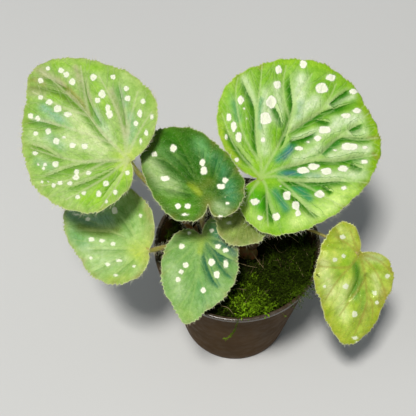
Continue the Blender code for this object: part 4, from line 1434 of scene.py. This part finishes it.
Pad = namedtuple("Pad", "name start_deg end_deg edge_mm heap_mm")
MOSS_PADS = (
    Pad("moss_front", 218, 288, 11.0, 5.0),
    Pad("moss_right", 288, 360, 15.0, 6.5),
    Pad("moss_back", 0, 118, 6.0, 4.5),
    Pad("moss_left", 118, 218, 5.5, 5.0),
)


def from_rhizome(x, y):
    """Distance in plan from the creeping stem's axis."""
    start, run = RHIZOME_START[:2], (RHIZOME_END - RHIZOME_START)[:2]
    point = np.stack([x, y], axis=-1) - start
    along = np.clip(point @ run / (run @ run), 0, 1)
    return np.linalg.norm(point - along[..., None] * run, axis=-1)


def moss_inner_radius(bearing):
    radii = np.arange(0, 40, 0.2) * MM
    clear = from_rhizome(radii * cos(bearing), radii * sin(bearing)) > CROWN_CLEAR
    return radii[np.argmax(clear)]


def moss_depth(pad, across, along):
    """Depth of a moss pad: `across` goes 0 to 1 outwards, `along` 0 to 1 round the pot."""
    heap = np.sin(pi * across) ** 0.6 * (0.7 + 0.3 * np.sin(pi * along))
    lumps = 0.8 * np.sin(9 * along + 5 * across) * np.sin(7 * across + 3 * along)
    return (0.3 * pad.edge_mm * (1 - across) + pad.edge_mm * across + pad.heap_mm * heap + lumps) * MM


def moss_top(pad, across, along):
    """A point on top of a moss pad."""
    bearing = radians(pad.start_deg) + radians(pad.end_deg - pad.start_deg) * along
    inner = moss_inner_radius(bearing)
    outer = inner_wall_radius(MIX_EDGE_HEIGHT) - 0.5 * MM
    radius = inner + (outer - inner) * across
    depth = float(moss_depth(pad, across, along))
    height = mix_surface(radius) + GAP + depth
    radius += (NECK_RADIUS - BASE_RADIUS) / POT_HEIGHT * depth * across
    return np.array((radius * cos(bearing), radius * sin(bearing), height))


def add_moss_pad(pad, material, rng):
    """The cushion under the fronds: the CAD pad with a rough, crumbled top."""
    columns, rows = 56, 26
    points = []
    tones = []
    for level in (0, 1):
        for column in range(columns + 1):
            for row in range(rows + 1):
                top = moss_top(pad, row / rows, column / columns)
                if level == 0:
                    reach = np.hypot(top[0], top[1])
                    top[:2] *= min(1, (inner_wall_radius(MIX_EDGE_HEIGHT) - 0.5 * MM) / reach)
                    top[2] = mix_surface(np.hypot(top[0], top[1])) + GAP
                elif 0 < row < rows:
                    top[2] += rng.normal(0, 0.35) * MM
                points.append(top)
                tones.append(rng.uniform(0, 0.35))
    size = (columns + 1) * (rows + 1)

    def at(column, row, level):
        return level * size + column * (rows + 1) + row

    faces = []
    for c in range(columns):
        for r in range(rows):
            faces.append((at(c, r, 1), at(c, r + 1, 1), at(c + 1, r + 1, 1), at(c + 1, r, 1)))
            faces.append((at(c, r, 0), at(c + 1, r, 0), at(c + 1, r + 1, 0), at(c, r + 1, 0)))
    ring = [(c, 0) for c in range(columns)] + [(columns, r) for r in range(rows)]
    ring += [(c, rows) for c in range(columns, 0, -1)] + [(0, r) for r in range(rows, 0, -1)]
    for (c0, r0), (c1, r1) in zip(ring, ring[1:] + ring[:1]):
        faces.append((at(c0, r0, 1), at(c1, r1, 1), at(c1, r1, 0), at(c0, r0, 0)))
    obj = add_mesh(f"{pad.name}_mat", points, faces, material)
    set_floats(obj.data, "tone", tones)
    ride(obj, "moss", pad.name)


def frond(start, way, length, leaflet, rng, bend=0.5):
    """A moss shoot: a thin curved stem with small pointed leaflets all along it, each a closed sliver."""
    way = way / np.linalg.norm(way)
    turn = rng.normal(0, 1, 3)
    turn -= way * (turn @ way)
    turn /= np.linalg.norm(turn)
    steps = 4
    t = np.linspace(0, 1, steps)[:, None]
    line = start + way * length * t + turn * length * bend * t * t
    side = np.cross(way, turn)
    points, faces = [], []
    stem = 0.10 * MM
    for k in range(steps):
        width = stem * (1 - 0.6 * k / (steps - 1))
        points += [line[k] + side * width, line[k] - 0.5 * side * width + turn * width * 0.87,
                   line[k] - 0.5 * side * width - turn * width * 0.87]
        if k:
            base = (k - 1) * 3
            for s in range(3):
                after = (s + 1) % 3
                faces.append((base + 3 + s, base + 3 + after, base + after, base + s))
    faces.append((0, 1, 2))
    faces.append((3 * steps - 1, 3 * steps - 2, 3 * steps - 3))
    count = max(4, int(length / (0.75 * MM)))
    for k in range(count):
        share = (k + 0.5) / count
        centre = start + way * length * share + turn * length * bend * share * share
        ahead = way + 2 * turn * bend * share
        ahead /= np.linalg.norm(ahead)
        angle = 2.4 * k + rng.uniform(-0.3, 0.3)
        out = cos(angle) * side + sin(angle) * np.cross(ahead, side)
        size = leaflet * (1 - 0.5 * share) * rng.uniform(0.7, 1.2)
        tip = centre + (out * 0.8 + ahead * 0.75) * size
        across = np.cross(out, ahead) * size * 0.27
        middle = centre + (out * 0.45 + ahead * 0.2) * size
        a, b, c, d = range(len(points), len(points) + 4)
        points += [centre, middle + across, tip, middle - across]
        faces += [(d, c, b), (a, c, d), (a, b, c), (a, d, b)]
    return points, faces


def add_fronds(name, starts, ways, lengths, leaflets, tones, material, rng, bend=0.5, over_rim=False):
    """Many fronds in one mesh, each with one tone."""
    all_points, all_faces, all_tones = [], [], []
    first = 0
    for start, way, length, leaflet, tone in zip(starts, ways, lengths, leaflets, tones):
        points, faces = frond(start, way, length, leaflet, rng, bend)
        all_points.append(np.array(points) if over_rim else inside_pot(np.array(points)))
        all_faces += [tuple(i + first for i in face) for face in faces]
        all_tones.append(np.full(len(points), tone))
        first += len(points)
    obj = add_mesh(name, np.concatenate(all_points), all_faces, material, smooth=False)
    set_floats(obj.data, "tone", np.concatenate(all_tones))
    ride(obj, "moss")


TUFT_SHOOTS = 26
TUFTS = (
    (250, 306, 8, 0.80), (259, 302, 7, 0.72), (238, 308, 8, 0.42), (255, 291, 5, 0.55), (246, 315, 7, 0.80),
    (262, 311, 5, 0.75), (228, 301, 6, 0.25), (269, 309, 5, 0.45), (296, 297, 8, 0.18),
)


def brightness_at(points):
    """How bright the moss is at each point: brightest in the tufts by the front rim, dark elsewhere."""
    places = photo_place(points)
    bright = np.full(len(places), 0.020)
    for x, y, size, strength in TUFTS:
        gap = np.hypot(places[:, 0] - x, places[:, 1] - y)
        bright = np.maximum(bright, strength * np.exp(-((gap / size) ** 2)))
    return bright


def inside_pot(points):
    """The same points, drawn in where they would reach the pot's wall."""
    reach = np.hypot(points[:, 0], points[:, 1])
    room = np.where(points[:, 2] < POT_HEIGHT + 0.5 * MM, inner_wall_radius(points[:, 2]) - 0.4 * MM, 1.0)
    points[:, :2] *= np.minimum(1, room / reach)[:, None]
    return points


def scatter_moss(pad, count, material, rng):
    across = np.sqrt(rng.uniform(0.01, 1.0, count))
    along = rng.uniform(0, 1, count)
    starts = np.array([moss_top(pad, a, b) for a, b in zip(across, along)])
    starts[:, 2] -= 0.8 * MM
    ways = rng.normal(0, 1, (count, 3)) * (1, 1, 0.45) + (0, 0, 0.55)
    rim = across > 0.9
    outward = starts[rim] / np.linalg.norm(starts[rim] * (1, 1, 0), axis=1)[:, None]
    ways[rim, :2] -= 1.1 * outward[:, :2]
    lengths = rng.uniform(4.0, 10.0, count) * MM
    leaflets = rng.uniform(1.1, 2.4, count) * MM
    tones = np.clip(0.55 * brightness_at(starts) + rng.exponential(0.045, count), 0, 1)
    add_fronds(f"{pad.name}_fronds", starts, ways, lengths, leaflets, tones, material, rng)


def add_tufts(material, rng):
    """Upright shoots in the bright tufts by the front rim, some leaning out over it."""
    starts, ways, lengths, leaflets, tones = [], [], [], [], []
    for x, y, size, strength in TUFTS:
        for _ in range(TUFT_SHOOTS):
            px, py = x + rng.normal(0, 0.5) * size, y + rng.normal(0, 0.4) * size
            start = at_height(px, py, rng.uniform(72, 77) * MM)
            reach = np.hypot(start[0], start[1])
            if reach > 40 * MM:
                start[:2] *= 40 * MM / reach
            starts.append(start)
            ways.append(rng.normal(0, 0.6, 3) + (0, -0.15, 1.0))
            lengths.append(rng.uniform(4.5, 10.0) * MM)
            leaflets.append(rng.uniform(1.6, 3.6) * MM)
            tones.append(np.clip(strength * rng.choice((0.12, 0.5, 1.0, 1.5)) + rng.normal(0, 0.05), 0, 1))
    add_fronds("moss_tufts", starts, ways, lengths, leaflets, tones, material, rng, 0.7)


def add_strands(material, rng):
    """Dry stems lying over the moss, some placed where the photograph shows them."""
    placed = (
        ((274, 244), (280, 255), (291, 246)),
        ((252, 252), (260, 264), (268, 273)),
        ((239, 263), (248, 266), (259, 268)),
        ((221, 306), (228, 307), (234, 315)),
        ((273, 302), (283, 294), (298, 294), (301, 302)),
        ((243, 308), (247, 298), (262, 283)),
        ((296, 262), (303, 275), (306, 286)),
        ((290, 236), (301, 244), (308, 256)),
        ((226, 292), (236, 288), (246, 290)),
    )
    all_points, all_faces, tones = [], [], []
    first = 0
    lines = []
    for pixels in placed:
        line = [at_height(x, y, (79 + 1.5 * sin(x)) * MM) for x, y in pixels]
        lines.append((spaced(rounded(line, 3), 1.2 * MM), 0.15 * MM, rng.uniform(0.2, 0.8)))
    for _ in range(90):
        pad = MOSS_PADS[rng.integers(0, 4)]
        start = moss_top(pad, rng.uniform(0.2, 0.85), rng.uniform(0.05, 0.95))
        heading = rng.uniform(0, 2 * pi)
        bend = rng.normal(0, 0.05)
        line = [start + (0, 0, 0.4 * MM)]
        for _ in range(int(rng.integers(6, 16))):
            heading += bend + rng.normal(0, 0.12)
            line.append(line[-1] + MM * np.array((cos(heading), sin(heading), rng.normal(0.02, 0.12))))
        line = np.array(line)
        if np.hypot(line[:, 0], line[:, 1]).max() < 40 * MM:
            lines.append((rounded(line, 1), rng.uniform(0.08, 0.15) * MM, rng.uniform(0, 0.6)))
    for line, radius, tone in lines:
        radii = radius * np.linspace(1, 0.5, len(line))
        points, faces = swept(line, radii, 5)
        all_points.append(points)
        all_faces += [tuple(i + first for i in face) for face in faces]
        tones.append(np.full(len(points), tone))
        first += len(points)
    obj = add_mesh("dry_strands", np.concatenate(all_points), all_faces, material)
    set_floats(obj.data, "tone", np.concatenate(tones))
    ride(obj, "moss")


def add_rim_shoots(material, rng):
    """Dark shoots that arch over the rim at the right, where the photograph shows them."""
    starts, ways, lengths, leaflets, tones = [], [], [], [], []
    for x, y, count in ((292, 291, 16), (299, 290, 16), (305, 284, 12), (310, 276, 10), (284, 297, 8)):
        for _ in range(count):
            start = at_height(x + rng.normal(0, 2), y + rng.normal(0, 1.5), 79 * MM)
            out = start * (1, 1, 0) / np.hypot(start[0], start[1])
            reach = np.hypot(start[0], start[1])
            if reach > 42 * MM:
                start[:2] *= 42 * MM / reach
            starts.append(start)
            ways.append(out * 0.9 + rng.normal(0, 0.45, 3) + (0, 0, 0.45))
            lengths.append(rng.uniform(4.0, 9.5) * MM)
            leaflets.append(rng.uniform(0.9, 2.2) * MM)
            tones.append(rng.choice((0.06, 0.14, 0.26)))
    add_fronds("rim_shoots", starts, ways, lengths, leaflets, tones, material, rng, 0.5, over_rim=True)


def add_trailing_shoot(material, rng):
    """A thin moss shoot that hangs over the front of the rim."""
    line = rounded(np.array((
        (0.6, -38.0, 78.5), (-0.2, -43.5, 81.6), (-1.2, -46.2, 79.0), (-1.8, -45.8, 71.0),
        (-3.2, -44.6, 62.5), (-4.8, -43.6, 56.5), (-7.0, -42.9, 54.0),
    )) * MM, 3)
    line = spaced(line, 0.9 * MM)
    run = np.gradient(line, axis=0)
    starts = np.repeat(line, 2, axis=0)
    ways = np.repeat(run, 2, axis=0) / np.linalg.norm(np.repeat(run, 2, axis=0), axis=1)[:, None]
    ways = ways + rng.normal(0, 0.40, ways.shape)
    lengths = rng.uniform(0.9, 2.2, len(starts)) * MM
    leaflets = rng.uniform(0.30, 0.70, len(starts)) * MM
    tones = np.linspace(0.02, 1.0, len(starts)) ** 4 * 0.45 + 0.17 + rng.normal(0, 0.05, len(starts))
    add_fronds("trailing_shoot", starts, ways, lengths, leaflets, np.clip(tones, 0, 1), material, rng, 0.25,
               over_rim=True)


def add_floor():
    n = Nodes("pale_floor")
    n.finish(n.mixed(n.between(n.noise(3, 2), 0.3, 0.7), (0.60, 0.60, 0.59), (0.62, 0.62, 0.61)), 0.7)
    size = 14
    points = [(-size, -size, 0), (size, -size, 0), (size, size, 0), (-size, size, 0)]
    floor = add_mesh("floor", points, [(0, 1, 2, 3)], n.material, smooth=False)


def add_light(name, size, power, place, aim, colour):
    """A square soft light, aimed at a point."""
    data = bpy.data.lights.new(name, "AREA")
    data.shape = "SQUARE"
    data.size = size
    data.energy = power
    data.color = colour
    light = bpy.data.objects.new(name, data)
    light.location = place
    light.rotation_euler = (Vector(aim) - Vector(place)).to_track_quat("-Z", "Y").to_euler()
    bpy.context.scene.collection.objects.link(light)


def add_camera():
    data = bpy.data.cameras.new("camera")
    data.sensor_width = SENSOR_MM
    data.lens = FOCAL_PX / FRAME_PX * SENSOR_MM
    data.clip_start = 0.01
    camera = bpy.data.objects.new("camera", data)
    camera.location = CAMERA_AT
    camera.rotation_euler = (pi / 2 - CAMERA_DOWN, 0, 0)
    bpy.context.scene.collection.objects.link(camera)
    bpy.context.scene.camera = camera


def light_scene():
    world = bpy.data.worlds.new("studio")
    world.use_nodes = True
    world.node_tree.nodes["Background"].inputs["Color"].default_value = (0.86, 0.93, 1.0, 1)
    world.node_tree.nodes["Background"].inputs["Strength"].default_value = 0.20
    bpy.context.scene.world = world
    plant = (0, 0, 0.1)
    add_light("key", 0.34, 44, (-0.30, -0.58, 2.20), plant, (1.0, 0.98, 0.94))
    add_light("fill", 1.2, 6, (-1.60, -0.50, 1.20), plant, (0.95, 0.98, 1.0))


def main():
    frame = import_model()
    bpy.context.scene.view_settings.view_transform = "Standard"
    rng = np.random.default_rng(11)
    add_camera()
    light_scene()
    add_floor()
    add_pot(pot_material(), lip_material())
    crumbs = mix_material()
    for slot in frame["nodes"]["potting_mix"].material_slots:
        slot.material = crumbs
    add_rhizome(rhizome_material(), rng)
    add_scales(scale_material(), rng)
    underside, stalk_skin = underside_material(), stalk_material()
    hair = hair_material("plant_hair", (0.86, 0.92, 0.66), (0.74, 0.58, 0.38))
    fuzz = hair_material("leaf_fuzz", (0.56, 0.78, 0.20), (0.84, 0.90, 0.56))
    for leaf in LEAVES:
        blade, outline, net, height = add_blade(leaf, (blade_material(leaf.name), underside), rng)
        add_blade_hairs(blade, outline, net, height, (hair, fuzz), rng)
        path, radii = add_stalk(leaf, stalk_skin, rng)
        add_stalk_hairs(leaf, path, radii, hair, rng)
    mat = moss_material("moss_mat", (0.006, 0.008, 0.002), (0.022, 0.026, 0.005))
    fronds = moss_material("moss_fronds", (0.006, 0.014, 0.001), (0.300, 0.560, 0.014))
    for pad, count in zip(MOSS_PADS, (900, 950, 550, 450)):
        add_moss_pad(pad, mat, rng)
        scatter_moss(pad, count, fronds, rng)
    add_tufts(fronds, rng)
    add_strands(strand_material(), rng)
    add_rim_shoots(fronds, rng)
    add_trailing_shoot(fronds, rng)
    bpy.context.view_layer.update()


main()
